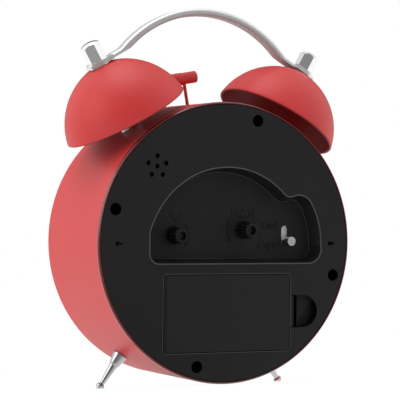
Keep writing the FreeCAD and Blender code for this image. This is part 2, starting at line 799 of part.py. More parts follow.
def make_motion_work():
    minute = minute_place()
    to_minute = direction_to(CENTRE, minute)
    minute_phase = follow(0, CENTRE_PINION, MINUTE_WHEEL, to_minute)
    hour_phase = follow(minute_phase, MINUTE_PINION, WHEEL, to_minute + 180)
    post_bore = POST + num("running")

    body = new_body("alarm_wheel_body")
    layer(body, ALARM_LAYER, 1.2, WHEEL, "gear_size", 0, bore="hour_tube + running")
    tube(body, ALARM_LAYER + 1.2 - JOIN, ALARM_END, "alarm_tube", "hour_tube + running")
    keep(body, "alarm_wheel")

    body = new_body("hour_wheel_body")
    layer(body, HOUR_LAYER, THICK, WHEEL, "gear_size", hour_phase, bore="minute_tube + running")
    tube(body, HOUR_LAYER + THICK - JOIN, HOUR_END, "hour_tube", "minute_tube + running")
    keep(body, "hour_wheel")

    body = new_body("cannon_body")
    bore = "centre_tube + running / 2"
    layer(body, CANNON_LAYER, CANNON_LENGTH, CENTRE_PINION, "gear_size", 0, bore=bore)
    tube(body, CANNON_LAYER + CANNON_LENGTH - JOIN, MINUTE_END, "minute_tube", bore)
    keep(body, "minute_pinion")

    body = new_body("minute_wheel_body")
    start = CANNON_LAYER + JOIN
    layer(body, start, THICK, MINUTE_WHEEL, "gear_size", minute_phase, bore=post_bore)
    layer(body, start + THICK - JOIN, 2.2, MINUTE_PINION, "gear_size", minute_phase, bore=post_bore)
    keep(body, "minute_wheel", at_depth(minute[0], 0, minute[1]))

    body = new_body("time_shaft_body")
    to_time = direction_to(minute, (num("time_x"), num("time_z")))
    tube(body, SHAFT_TIP, CANNON_LAYER + JOIN, "shaft_radius")
    layer(body, CANNON_LAYER, CANNON_LENGTH, TIME_PINION, "gear_size",
          follow(minute_phase, MINUTE_WHEEL, TIME_PINION, to_time))
    tube(body, CANNON_LAYER + CANNON_LENGTH - JOIN, SHAFT_END, POST)
    keep(body, "time_shaft", at_depth("time_x", 0, "time_z"))

    alarm = alarm_place()
    body = new_body("alarm_shaft_body")
    start = ALARM_LAYER - JOIN
    tube(body, SHAFT_TIP, ALARM_LAYER + JOIN, "shaft_radius")
    layer(body, start, THICK, ALARM_PINION, "gear_size",
          follow(0, WHEEL, ALARM_PINION, direction_to(CENTRE, alarm)))
    tube(body, start + THICK - JOIN, SHAFT_END, POST)
    keep(body, "alarm_shaft", at_depth(alarm[0], 0, alarm[1]))


def make_train():
    third = third_place()
    third_size = 2 * math.hypot(*third) / (THIRD_PINION + CENTRE_WHEEL)
    second_phase = 0
    third_phase = follow(second_phase, SECOND_PINION, THIRD_WHEEL, THIRD_DIRECTION)
    centre_phase = follow(third_phase, THIRD_PINION, CENTRE_WHEEL, THIRD_DIRECTION + 180)
    motor_phase = follow(second_phase, SECOND_WHEEL, MOTOR_PINION, MOTOR_DIRECTION)
    rotor_phase = follow(motor_phase, MOTOR_WHEEL, ROTOR_PINION, MOTOR_DIRECTION)
    rotor_layer, motor_layer, second_layer, third_layer, centre_layer = 26.4, 26.6, 28.0, 29.4, 31.9

    body = new_body("second_body")
    tube(body, TRAIN_BACK, SECOND_END, "second_arbor")
    layer(body, second_layer, THIN, SECOND_WHEEL, "train_size", second_phase)
    layer(body, third_layer - 0.2, PINION_LENGTH, SECOND_PINION, "train_size", second_phase)
    keep(body, "second_wheel")

    body = new_body("third_body")
    tube(body, TRAIN_BACK, TRAIN_FRONT, "arbor")
    layer(body, third_layer, THIN, THIRD_WHEEL, "train_size", third_phase)
    layer(body, centre_layer - 0.2, PINION_LENGTH, THIRD_PINION, third_size, third_phase)
    keep(body, "third_wheel", at_depth(third[0], 0, third[1]))

    body = new_body("centre_body")
    bore = "second_arbor + running"
    layer(body, centre_layer, THIN, CENTRE_WHEEL, third_size, centre_phase, bore=bore)
    tube(body, centre_layer + THIN - JOIN, CENTRE_END, "centre_tube", bore)
    keep(body, "centre_wheel")

    motor, rotor = motor_wheel_place(), rotor_place()
    body = new_body("motor_wheel_body")
    tube(body, TRAIN_BACK, TRAIN_FRONT, "arbor")
    layer(body, motor_layer, THIN, MOTOR_WHEEL, "train_size", motor_phase)
    layer(body, second_layer - 0.2, PINION_LENGTH, MOTOR_PINION, "train_size", motor_phase)
    keep(body, "motor_wheel", at_depth(motor[0], 0, motor[1]))

    magnet_layer, magnet_radius = 30.1, 2.5
    body = new_body("rotor_body")
    tube(body, TRAIN_BACK, TRAIN_FRONT, "arbor")
    layer(body, rotor_layer, PINION_LENGTH, ROTOR_PINION, "train_size", rotor_phase)
    tube(body, magnet_layer, magnet_layer + 1.6, magnet_radius)
    keep(body, "motor_rotor", at_depth(rotor[0], 0, rotor[1]))

    # The stator's two arms lead from the coil's core around the rotor.
    body = new_body("stator_body")
    plate = sketch(body, "XZ_Plane", magnet_layer + 0.3)
    outline(plate, [(-12, -24), (-8, -24), (-8, -18.4), (8, -18.4), (8, -24),
                    (12, -24), (12, -11), (7, -8), (-9, -8), (-12, -11)])
    ring(plate, magnet_radius + 0.4, *rotor)
    pad(body, plate, 1.0)
    coil_depth, coil_z = 29.9, -22.2
    bar = (coil_depth - 0.5, coil_depth + 0.5, coil_z - 1, coil_z + 1)
    keep(fuse("stator_and_core", [body, box("core_bar", -12, 12, *bar)]), "motor_stator")

    winding = cylinder("coil_winding", 3.0, 14, along(Vector(-7, -coil_depth, coil_z), ACROSS))
    keep(cut("coil", winding, [box("coil_hole", -8, 8, *bar)]), "motor_coil")


# Movement case

CORNER = 5.0
PLATE_BACK = 32.9
PLATE_THICK = 1.0
LID_THICK = 1.5


def lid_screw_places():
    reach = num("works_half - works_wall") - CORNER / 2
    return [(a * reach, b * reach) for a in (-1, 1) for b in (-1, 1)]


def make_works():
    body = new_body("works_case")
    block = sketch(body, "XZ_Plane", "works_back")
    rectangle(block, "-works_half", "-works_half", "works_half", "works_half")
    pad(body, block, "works_front - works_back")
    hollow = sketch(body, "XZ_Plane", "works_back")
    inner = "works_half - works_wall"
    rectangle(hollow, "-(%s)" % inner, "-(%s)" % inner, inner, inner)
    pocket(body, hollow, "works_front - works_wall - works_back")

    floor = "works_front - works_wall"
    minute = minute_place()
    alarm = alarm_place()
    solids = [body, cylinder("dial_bushing", "bushing", 1.9, forward(0, "works_front - 0.1", 0)),
              cylinder("minute_post", POST, floor + " - 34.1", forward(minute[0], 34.1, minute[1]))]
    plate_front = PLATE_BACK + PLATE_THICK
    height = "%s - %g" % (floor, plate_front)
    for x, z in ((-20, -10), (-20, 16), (20, -14)):
        solids.append(cylinder("plate_post", 1.5, height, forward(x, plate_front, z)))
    half = CORNER / 2
    for x, z in lid_screw_places():
        solids.append(box("corner_post", x - half, x + half, "works_back", floor, z - half, z + half))
    for side in (-1, 1):
        edges = sorted((side * (num("works_half") - 0.2), side * (num("works_half") + EAR_REACH)))
        seat = num("dial_depth - dial_thick - chassis_thick")
        solids.append(box("ear", edges[0], edges[1], seat - EAR_THICK, seat, -EAR_HALF, EAR_HALF))
    tools = [cylinder("bushing_bore", "alarm_tube + running", 6, forward(0, "works_front - 3", 0)),
             cylinder("time_seat", POST + 0.1, 1.0, forward("time_x", floor, "time_z")),
             cylinder("alarm_seat", POST + 0.1, 1.0, forward(alarm[0], floor, alarm[1]))]
    for x, z in lid_screw_places():
        tools.append(cylinder("lid_bore", SMALL_SCREW, 6, forward(x, "works_back", z)))
    for x in ear_places():
        tools.append(cylinder("ear_bore", SMALL_SCREW, 6, forward(x, 36, 0)))
    for x in BRACKET_SCREWS:
        seat = Vector(x, -num("hammer_depth") - 1, BRACKET_LOW - 3)
        tools.append(cylinder("bracket_seat", SMALL_SCREW, 4, along(seat, UP)))
    keep(cut("works", fuse("works_solids", solids), tools), "movement_case")

    rotor, motor, third = rotor_place(), motor_wheel_place(), third_place()
    body = new_body("train_plate_body")
    plate = sketch(body, "XZ_Plane", PLATE_BACK)
    rectangle(plate, "-(%s) + 0.1" % inner, -17, inner + " - 0.1", 21.3)
    ring(plate, "centre_tube + running")
    for x, z in knob_places().values():
        ring(plate, "shaft_radius + 0.3", x, z)
    for x, z in (rotor, motor, third):
        ring(plate, "arbor + running", x, z)
    pad(body, plate, PLATE_THICK)
    keep(body, "train_plate")

    body = new_body("lid_body")
    lid = sketch(body, "XZ_Plane", "works_back - %g" % LID_THICK)
    rectangle(lid, "-works_half", "-works_half", "works_half", "works_half")
    for x, z in knob_places().values():
        ring(lid, "shaft_radius + running", x, z)
    for x, z in (rotor, motor, third):
        ring(lid, "arbor + running", x, z)
    ring(lid, "second_arbor + running")
    for x, z in lid_screw_places():
        ring(lid, SMALL_SCREW, x, z)
    pad(body, lid, LID_THICK)
    keep(body, "movement_lid")

    for x, z in lid_screw_places():
        seat = num("works_back") - LID_THICK
        shank = cylinder("lid_shank", SMALL_SCREW, 6, forward(x, seat, z))
        head = cylinder("lid_head", SCREW_HEAD, HEAD_THICK, forward(x, seat - HEAD_THICK, z))
        SMALL_SCREWS.append(fuse("lid_screw", [shank, head]))


# Hands

HANDS = {
    "alarm_hand": {"start": 44.3, "thick": 0.5, "bore": "alarm_tube", "hub": 4.0, "angle": 180,
                   "blade": [(-0.9, 3), (0.9, 3), (0.3, 20), (-0.3, 20)]},
    "hour_hand": {"start": 45.5, "thick": 0.5, "bore": "hour_tube", "hub": 3.4, "angle": 305,
                  "blade": [(-1.6, -6), (1.6, -6), (2.0, 22), (0, 28), (-2.0, 22)]},
    "minute_hand": {"start": 46.7, "thick": 0.5, "bore": "minute_tube", "hub": 2.8, "angle": 60,
                    "blade": [(-1.3, -8), (1.3, -8), (1.6, 36), (0, 42), (-1.6, 36)]},
    "second_hand": {"start": 47.9, "thick": 0.4, "bore": "second_arbor", "hub": 1.8, "angle": 150,
                    "blade": [(-0.7, -12), (0.7, -12), (0.25, 43), (-0.25, 43)]},
}


def make_hands():
    for name, hand in HANDS.items():
        body = new_body(name + "_body")
        pad(body, outline(sketch(body, "XZ_Plane", hand["start"]), hand["blade"]), hand["thick"])
        pad(body, ring(sketch(body, "XZ_Plane", hand["start"]), hand["hub"]), hand["thick"])
        pocket(body, ring(sketch(body, "XZ_Plane", hand["start"]), hand["bore"]), hand["thick"])
        keep(body, name, Placement(Vector(), Rotation(Vector(0, 1, 0), hand["angle"])))


# Bells, posts and handle

SADDLE_TOP = 56.6
SADDLE = 4.6
POST_SHOULDER = 3.0
WASHER_THICK = 0.5
CAP_RADIUS = 4.6
CAP_ACROSS = 7.6
CAP_HEX = 5.2
CAP_HEIGHT = 8.6
BAR_EDGE = 1.2
TAB_REACH = 5.5
NUT_ACROSS = 7.0
NUT_THICK = 2.8


def bell_profile():
    """Outer and inner curve of the bell: one arc from the mouth to a small flat crown."""
    mouth, height, wall = num("bell_radius"), num("bell_height"), num("bell_sheet")
    crown = 5.0
    shoulder = Vector(0.824 * mouth, 0.506 * height, 0)
    outer = Part.Arc(Vector(mouth, 0, 0), shoulder, Vector(crown, height, 0))
    circle = outer.toShape().Curve
    centre, radius = circle.Center, circle.Radius - wall
    inner_height = height - wall
    inner_crown = centre.x + math.sqrt(radius ** 2 - (inner_height - centre.y) ** 2)
    inner_mouth = centre.x + math.sqrt(radius ** 2 - centre.y ** 2)
    middle = centre + Vector(1, 1, 0).normalize() * radius
    bore = STUD + 0.05
    inner = Part.Arc(Vector(inner_crown, inner_height, 0), middle, Vector(inner_mouth, 0, 0))
    return [outer,
            Part.LineSegment(Vector(crown, height, 0), Vector(bore, height, 0)),
            Part.LineSegment(Vector(bore, height, 0), Vector(bore, inner_height, 0)),
            Part.LineSegment(Vector(bore, inner_height, 0), Vector(inner_crown, inner_height, 0)),
            inner,
            Part.LineSegment(Vector(inner_mouth, 0, 0), Vector(mouth, 0, 0))]


def hexagon(body, depth_start, across, bore=None):
    """Six-sided outline on the body's own XZ plane."""
    made = sketch(body, "XZ_Plane", depth_start)
    radius = across / math.sqrt(3)
    outline(made, [on_circle(radius, 60 * i) for i in range(6)])
    if bore is not None:
        ring(made, bore)
    return made


def inner_nut(name, place, way):
    """Hexagon nut on a stud, on the inside of the drum's wall."""
    nut = new_body(name)
    pad(nut, hexagon(nut, 0, NUT_ACROSS, STUD), NUT_THICK)
    nut.Placement = along(place, way, FORWARD)
    INNER_NUTS.append(nut)


def make_bells():
    crown = num("bell_mouth + bell_height")
    under = num("bell_mouth + bell_height - bell_sheet")
    tab_top = crown + WASHER_THICK + num("handle_thick")
    washers, saddles, posts, caps = [], [], [], []
    turn_out = Vector(0, 1, 0)
    for name, side in SIDES:
        start, way = bell_line(side)

        body = new_body("bell_body_" + name)
        profile = sketch(body, "XY_Plane")
        profile.addGeometry(bell_profile(), False)
        revolve(body, profile)
        keep(body, "bell_" + name, along(start + way * num("bell_mouth"), way, turn_out))

        post = turned("post_body_" + name, [
            (0, 50), (STUD, 50), (STUD, SADDLE_TOP), (POST_SHOULDER, SADDLE_TOP), (POST_SHOULDER, under),
            (STUD, under), (STUD, tab_top + 5.5), (0, tab_top + 5.5)])
        post.Placement = along(start, way, turn_out)
        posts.append(post)

        block = cylinder("saddle_block_" + name, SADDLE, 5.0, along(start + way * (SADDLE_TOP - 5), way))
        bore = cylinder("saddle_bore_" + name, STUD + 0.1, 8, along(start + way * (SADDLE_TOP - 6), way))
        saddles.append(cut("saddle_" + name, block, [bore, drum_core("saddle_shape_" + name, "drum_radius")]))

        blank = cylinder("washer_blank_" + name, CAP_RADIUS, WASHER_THICK, along(start + way * crown, way))
        bore = cylinder("washer_bore_" + name, STUD + 0.05, 2, along(start + way * (crown - 1), way))
        washers.append(cut("washer_" + name, blank, [bore]))

        inner_nut("inner_nut_" + name, start + way * 53.2, -way)

        cap = new_body("cap_body_" + name)
        pad(cap, hexagon(cap, 0, CAP_ACROSS, STUD), CAP_HEX)
        dome = doc.addObject("Part::Sphere", "cap_dome_" + name)
        dome.Radius = CAP_RADIUS
        dome.Placement = Placement(Vector(0, -(CAP_HEIGHT - CAP_RADIUS), 0), Rotation())
        slab = doc.addObject("Part::Cylinder", "cap_slab_" + name)
        slab.Radius = CAP_ACROSS / 2
        slab.Height = CAP_HEIGHT
        slab.Placement = forward(0, CAP_HEX - 0.01, 0)
        top = doc.addObject("Part::Common", "cap_top_" + name)
        top.Base = dome
        top.Tool = slab
        nut = cut("cap_nut_cut_" + name, fuse("cap_solid_" + name, [cap, top]),
                  [cylinder("cap_bore_" + name, STUD, 5.6, forward(0, 0, 0))])
        nut.Placement = along(start + way * tab_top, way, FORWARD)
        caps.append(nut)
    keep(group("washer_group", washers), "bell_washers")
    keep(group("saddle_group", saddles), "post_saddles")
    keep(group("post_group", posts), "bell_posts")
    keep(group("cap_group", caps), "cap_nuts")


def arch_edges(offset):
    """Half of the handle's line at an offset from its middle: arch, bend and straight tab."""
    radius = num("arch_radius")
    centre = Vector(0, 0, num("arch_top") - radius)
    slope = num("bell_tilt")
    start, way = bell_line(1)
    seat = start + way * (num("bell_mouth + bell_height + handle_thick / 2") + WASHER_THICK)
    seat.y = 0
    down = Vector(math.cos(math.radians(slope)), 0, -math.sin(math.radians(slope)))
    # A bend of its own radius joins the arch to the line of the tab.
    bend = 7.0
    out = Vector(way.x, 0, way.z)
    level = (seat - centre).dot(out) + bend
    angle = math.acos(level / (radius + bend))
    base = math.atan2(out.x, out.z)
    leave = base + angle
    joint = centre + Vector(math.sin(leave), 0, math.cos(leave)) * radius
    pivot = centre + Vector(math.sin(leave), 0, math.cos(leave)) * (radius + bend)
    foot = pivot - out * bend
    halfway = (joint - pivot).normalize() + (foot - pivot).normalize()
    halfway.normalize()
    end = seat + down * (num("tab_width") / 2)
    return {
        "top": centre + Vector(0, 0, radius + offset),
        "arch": centre + Vector(math.sin(leave / 2), 0, math.cos(leave / 2)) * (radius + offset),
        "joint": centre + Vector(math.sin(leave), 0, math.cos(leave)) * (radius + offset),
        "bend": pivot + halfway * (bend - offset),
        "foot": pivot - out * (bend - offset),
        "seat": seat + out * offset,
        "end": end + out * offset,
    }


def mirrored(place):
    return Vector(-place.x, place.y, place.z)


def handle_blank(inner, outer, width):
    """Bent strip between two offsets of the handle's line."""
    lines = (arch_edges(inner), arch_edges(outer))
    edges = []
    for line in lines:
        edges.append(Part.Arc(mirrored(line["joint"]), line["top"], line["joint"]).toShape())
        for flip in (lambda p: p, mirrored):
            edges.append(Part.Arc(flip(line["joint"]), flip(line["bend"]), flip(line["foot"])).toShape())
            edges.append(Part.LineSegment(flip(line["foot"]), flip(line["end"])).toShape())
    for flip in (lambda p: p, mirrored):
        edges.append(Part.LineSegment(flip(lines[0]["end"]), flip(lines[1]["end"])).toShape())
    face = Part.Face(Part.Wire(Part.__sortEdges__(edges)))
    blank = face.extrude(Vector(0, width, 0))
    blank.translate(Vector(0, -num("bell_depth") - width / 2, 0))
    return blank


def lengthwise(solid, shortest):
    """Long edges of a blank, which run along the handle."""
    return [e for e in solid.Edges if abs(e.BoundBox.YLength) < 1e-6 and e.Length > shortest]


def tab_shape(side, reach, width):
    """Round-ended outline of a tab, as a solid through which the strip passes."""
    start, way = bell_line(side)
    seat = start + way * num("bell_mouth + bell_height")
    down = Vector(side * way.z, 0, -abs(way.x))
    disc = Part.makeCylinder(width / 2, 8, Vector(0, 0, -2))
    arm = Part.makeBox(width, reach, 8, Vector(-width / 2, 0, -2))
    shape = disc.fuse(arm)
    shape.Placement = Placement(seat, Rotation(Vector(0, 1, 0), -down, way, "YZX"))
    return shape


def make_handle():
    half = num("handle_thick") / 2
    bar_inner = half - num("handle_bar")
    wide, narrow = num("tab_width"), num("handle_width")
    bar = handle_blank(bar_inner, half, narrow)
    bar = bar.makeFillet(BAR_EDGE, lengthwise(bar, num("handle_bar") + 0.1))
    tabs = handle_blank(-half, half, wide)
    strip = None
    for side in (-1, 1):
        start, way = bell_line(side)
        seat = start + way * num("bell_mouth + bell_height")
        tab = tabs.common(tab_shape(side, TAB_REACH, wide))
        strip = tab if strip is None else strip.fuse(tab)
        # The bar is full thickness only above its bend.
        flat = Part.makeBox(40, 40, 12, Vector(-20, -20, -12))
        flat.Placement = Placement(seat + way * WASHER_THICK, Rotation(Vector(0, 0, 1), way))
        bar = bar.cut(flat)
    strip = strip.fuse(bar).removeSplitter()
    for side in (-1, 1):
        start, way = bell_line(side)
        seat = start + way * num("bell_mouth + bell_height")
        strip = strip.cut(Part.makeCylinder(STUD + 0.1, 6, seat - way, way))
    keep(shaped("handle_strip", strip), "handle")


# Feet

def make_feet():
    outer = num("drum_radius")
    tip = outer + num("foot_reach")
    for name, side in SIDES:
        start, way = foot_line(side)
        base = turned("foot_body_" + name, [
            (0, 50.5), (STUD, 50.5), (STUD, outer), (3.1, outer), (3.1, outer + 0.6), (2.1, outer + 5.2),
            (1.75, outer + 5.5), (1.0, tip - 2.2), (1.8, tip - 1.6), (1.8, tip - 0.6), (1.0, tip - 0.1),
            (1.0, tip + 1.2), (0, tip + 1.2)])
        base.Placement = along(start, way, Vector(0, 1, 0))
        floor = doc.addObject("Part::Box", "floor_" + name)
        floor.Length, floor.Width, floor.Height = 160, 100, 40
        floor.Placement = STAND.inverse().multiply(Placement(Vector(-80, -80, -40), Rotation()))
        keep(cut("foot_cut_" + name, base, [floor]), "foot_" + name)
        inner_nut("foot_nut_" + name, start + way * 53.9, way)


# Striker

BRACKET_LOW = 28.0
PIVOT_PIN = 1.0
HUB = 2.4
COIL_RADIUS = 4.5
COIL_HEIGHT = 40.0
CORE = 2.0
RIVET = 1.2
POLE_X = -3.4


def make_striker():
    pivot = num("hammer_pivot")
    depth = "hammer_depth + 1"
    sheet_thick = 1.2
    front, back = "hammer_depth + 6", "hammer_depth - 3.5"
    low = BRACKET_LOW
    base = box("bracket_base", -19.2, 7, back, front, low, low + sheet_thick)
    upright = box("bracket_upright", -19.2, -18, back, front, low, COIL_HEIGHT + 5)
    cheeks = [box("cheek_front", -3.2, 3.2, "hammer_depth + 4.8", front, low, pivot + 2.6),
              box("cheek_back", -3.2, 3.2, back, "hammer_depth - 2.3", low, pivot + 2.6)]
    holes = [cylinder("pin_hole", PIVOT_PIN, 20, forward(0, "hammer_depth - 8", pivot)),
             cylinder("core_hole", RIVET, 6, along(Vector(-21, -num(depth), COIL_HEIGHT), ACROSS))]
    for x in BRACKET_SCREWS:
        holes.append(cylinder("bracket_bore", SMALL_SCREW, 4, along(Vector(x, -num(depth), low - 1), UP)))
    bracket = cut("bracket", fuse("bracket_solids", [base, upright] + cheeks), holes)
    keep(cylinder("pivot", PIVOT_PIN, 10.4, forward(0, "hammer_depth - 3.9", pivot)), "pivot_pin")

    def on_coil(x):
        """Placement along the coil's axis, x measured from the back of the upright."""
        return along(Vector(x - 19.2, -num(depth), COIL_HEIGHT), ACROSS)

    core = fuse("pole", [cylinder("pole_rivet", RIVET, 2, on_coil(0)),
                         cylinder("pole_bar", CORE, POLE_X + 18, on_coil(sheet_thick))])
    keep(fuse("bracket_and_core", [bracket, core]), "striker_bracket")
    spool = [cylinder("spool_tube", CORE + 0.6, 12.6, on_coil(sheet_thick))]
    for x in (sheet_thick, 12.8):
        spool.append(cylinder("spool_end", COIL_RADIUS + 0.6, 1.0, on_coil(x)))
    bore = cylinder("spool_bore", CORE, 30, on_coil(-2))
    keep(cut("spool", fuse("spool_solids", spool), [bore]), "striker_bobbin")
    winding = cylinder("winding_outer", COIL_RADIUS, 10.6, on_coil(2.2))
    hole = cylinder("winding_hole", CORE + 0.6, 12, on_coil(1.7))
    keep(cut("winding", winding, [hole]), "striker_coil")

    # The lever, rod and head are drawn upright about the pivot and then lean to their rest.
    plane = num("hammer_depth")
    hub_back, hub_front = plane - 1.9, plane + 3.1
    reach = num("hammer_reach")
    rod_start = 9.0
    rod_length = num("hammer_reach - head_radius + 1") - rod_start
    lever = fuse("lever_solids", [cylinder("lever_hub", HUB, hub_front - hub_back, forward(0, hub_back, 0)),
                                  box("lever_arm", -0.75, 0.75, hub_back, hub_front, 1.0, 14.0)])
    lever = cut("lever", lever, [cylinder("lever_bore", PIVOT_PIN + 0.08, 20, forward(0, hub_back - 4, 0))])
    rod = cylinder("rod", "hammer_rod", rod_length, along(Vector(0, -plane, rod_start), UP))

    half = num("head_length") / 2
    small = along(Vector(-half, -plane, reach), ACROSS)
    large = along(Vector(1, -plane, reach), ACROSS)
    head = fuse("head_solids", [cylinder("head_body", "head_radius", half + 1, small),
                                cylinder("head_collar", "head_radius + 0.15", half - 1, large)])
    bore = cylinder("head_bore", "hammer_rod", reach - 1.5, along(Vector(0, -plane, 0), UP))
    head = cut("head", head, [bore])
    rest = Placement(Vector(0, 0, pivot), Rotation(Vector(0, 1, 0), num("hammer_lean")))
    keep(fuse("lever_and_rod", [lever, rod]), "hammer_arm", rest)
    keep(head, "hammer_head", rest)

    turns = 3
    pitch = 0.38
    coil_radius = 1.55
    helix = Part.makeHelix(pitch, pitch * turns, coil_radius)
    section = Part.Wire(Part.makeCircle(0.14, Vector(coil_radius, 0, 0), Vector(0, 1, 0)))
    spring = shaped("torsion", Part.Wire(helix).makePipeShell([section], True, True))
    keep(spring, "return_spring", forward(0, hub_front + 0.35, pivot))

    for x in BRACKET_SCREWS:
        seat = Vector(x, -num(depth), low + sheet_thick)
        shank = cylinder("bracket_shank", SMALL_SCREW, 4.0, along(seat, -UP))
        head = cylinder("bracket_head", SCREW_HEAD, HEAD_THICK, along(seat, UP))
        SMALL_SCREWS.append(fuse("bracket_screw", [shank, head]))


# Switch, board and sounder

BOARD_DEPTH = 14.6


def make_electrics():
    x = num("switch_x")
    rest, travel = num("switch_rest"), num("switch_travel")
    floor = num("recess_depth + recess_wall")
    slide = box("slide_plate", x - 2.8, x + 2.8, floor + 0.15, floor + 1.35, rest - 7.4, rest + 7.0)
    post = box("slide_post", x - 1.2, x + 1.2, floor + 1.3, floor + 2.6, rest - 1.2, rest + 1.2)
    keep(fuse("slide", [slide, post]), "switch_slider")
    button_front = 4.6
    length = floor - button_front + 0.15
    stem = cylinder("pin_stem", 1.4, length, forward("switch_x", button_front, "switch_rest"))
    button = cylinder("pin_head", 1.9, 3.6, forward("switch_x", button_front - 3.4, "switch_rest"))
    keep(fuse("pin_solids", [stem, button]), "switch_pin")

    shell = box("switch_shell", x - 4.2, x + 4.2, floor + 1.7, BOARD_DEPTH, rest - 8.5, rest + travel + 8.5)
    track = box("switch_track", x - 1.6, x + 1.6, floor + 1.6, floor + 3.2, rest - 1.8, rest + travel + 1.8)
    keep(cut("switch_case", shell, [track]), "switch_body")

    board = box("board", x - 9, x + 9, BOARD_DEPTH, BOARD_DEPTH + 1, rest - 9, rest + travel + 9)
    chip = doc.addObject("Part::Sphere", "chip_ball")
    chip.Radius = 6.0
    chip.Placement = Placement(Vector(x + 3, -BOARD_DEPTH + 3.2, rest + 6), Rotation())
    block = box("chip_block", x - 5, x + 9, BOARD_DEPTH + 1, BOARD_DEPTH + 8, rest - 2, rest + 14)
    dome = doc.addObject("Part::Common", "chip_dome")
    dome.Base = chip
    dome.Tool = block
    crystal = cylinder("crystal_can", 1.0, 6.0, along(Vector(x - 6, -BOARD_DEPTH - 1.9, rest - 3), UP))
    keep(fuse("board_and_parts", [board, dome, crystal]), "circuit_board")
    can = cylinder("sounder_can", SOUNDER_RADIUS, SOUNDER_THICK, forward("sound_x", "cover_thick", "sound_z"))
    keep(can, "sounder")


# Leads

LEAD = 0.55


def lead_shape(places):
    """Round lead along straight runs joined by tangent arcs."""
    edges = []
    cursor = places[0]
    for i in range(1, len(places) - 1):
        before = places[i - 1] - places[i]
        after = places[i + 1] - places[i]
        back = 0.45 * min(before.Length, after.Length)
        a = before.normalize()
        b = after.normalize()
        half_turn = (math.pi - a.getAngle(b)) / 2
        radius = back / math.tan(half_turn)
        into, out = places[i] + a * back, places[i] + b * back
        bisector = (a + b).normalize()
        middle = places[i] + bisector * (math.hypot(radius, back) - radius)
        edges.append(Part.LineSegment(cursor, into).toShape())
        edges.append(Part.Arc(into, middle, out).toShape())
        cursor = out
    edges.append(Part.LineSegment(cursor, places[-1]).toShape())
    path = Part.Wire(edges)
    section = Part.Wire(Part.makeCircle(LEAD, places[0], places[1] - places[0]))
    return path.makePipeShell([section], True, False)


def make_leads():
    board_back = BOARD_DEPTH + 1
    x = num("switch_x")
    top = num("switch_rest + switch_travel") + 7
    low = num("switch_rest") - 7
    works_rear = num("works_back") - LID_THICK
    sound = (num("sound_x"), num("sound_z"))
    bay_back = num("bay_depth + bay_wall")
    routes = {
        "lead_sounder": [(sound[0], 2 + SOUNDER_THICK, sound[1]), (sound[0], 14, sound[1]), (25, 19.5, 37),
                         (4, 20.5, 39), (-14, 20.5, 34), (x + 3, 19.6, 24), (x + 2, 18.6, top),
                         (x + 2, board_back, top)],
        "lead_striker": [(-12, 25.5, COIL_HEIGHT), (-12, 22.2, COIL_HEIGHT), (-18, 20.6, 36), (-27, 20.0, 30),
                         (x - 1, 19.4, 21), (x - 2, 18.6, top), (x - 2, board_back, top)],
        "lead_battery": [(10, bay_back, -20), (10, bay_back + 2.4, -20), (2, 21.6, -17), (-10, 21.6, -14),
                         (-22, 20.6, -12), (x + 2, 18.8, low), (x + 2, board_back, low)],
        "lead_motor": [(-16, works_rear, -16), (-16, works_rear - 2.2, -16), (-21, 21.0, -12),
                       (-28, 20.0, -8), (x - 5, 18.8, low + 1), (x - 5, board_back, low + 1)],
    }
    for name, route in routes.items():
        LEADS.append(shaped(name, lead_shape([Vector(a, -d, c) for a, d, c in route])))
    keep(group("lead_group", LEADS), "leads")


# Assembly

LEAN = Rotation(Vector(1, 0, 0), -num("lean"))
STAND = Placement(Vector(0, num("stand_y"), num("drum_radius") * math.cos(math.radians(num("lean")))), LEAN)


def main():
    make_drum()
    make_front()
    make_chassis()
    make_cover()
    make_door()
    make_cells()
    make_knobs()
    make_motion_work()
    make_train()
    make_works()
    make_hands()
    make_bells()
    make_handle()
    make_feet()
    make_striker()
    make_electrics()
    make_leads()
    keep(group("small_screw_group", SMALL_SCREWS), "small_screws")
    keep(group("inner_nut_group", INNER_NUTS), "inner_nuts")
    doc.recompute()

    for obj in NODES:
        obj.Placement = STAND.multiply(obj.Placement)
    doc.recompute()

    faults = [o.Label for o in doc.Objects if {"Invalid", "Error"} & set(o.State)]
    faults += [o.Label for o in NODES if o.Shape.isNull() or not o.Shape.isValid()]
    if faults:
        raise RuntimeError("not made: " + ", ".join(faults))
    os.makedirs("parts", exist_ok=True)
    for obj in NODES:
        obj.Shape.exportStep("parts/%s.step" % obj.Label)
    print(len(NODES), "sub-parts")


main()
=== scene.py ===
"""Looks of a red twin-bell alarm clock, built around its packed model."""

import json
import math

import bmesh
import bpy
from mathutils import Matrix, Vector


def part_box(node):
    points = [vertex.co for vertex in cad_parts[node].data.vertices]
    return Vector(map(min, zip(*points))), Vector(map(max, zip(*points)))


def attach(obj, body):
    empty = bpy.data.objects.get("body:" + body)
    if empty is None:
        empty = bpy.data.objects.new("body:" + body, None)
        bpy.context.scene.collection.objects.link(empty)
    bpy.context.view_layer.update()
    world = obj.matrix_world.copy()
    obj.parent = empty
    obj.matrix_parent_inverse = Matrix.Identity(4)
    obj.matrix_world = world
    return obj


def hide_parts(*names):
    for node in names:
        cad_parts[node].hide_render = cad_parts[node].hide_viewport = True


bl_info = {
    "name": "Twin-bell alarm clock",
    "version": (1, 0, 0),
    "blender": (4, 5, 0),
    "location": "3D View > Sidebar > Clock",
    "description": "Dresses the frame of a twin-bell alarm clock with its finished pieces",
    "category": "Object",
}

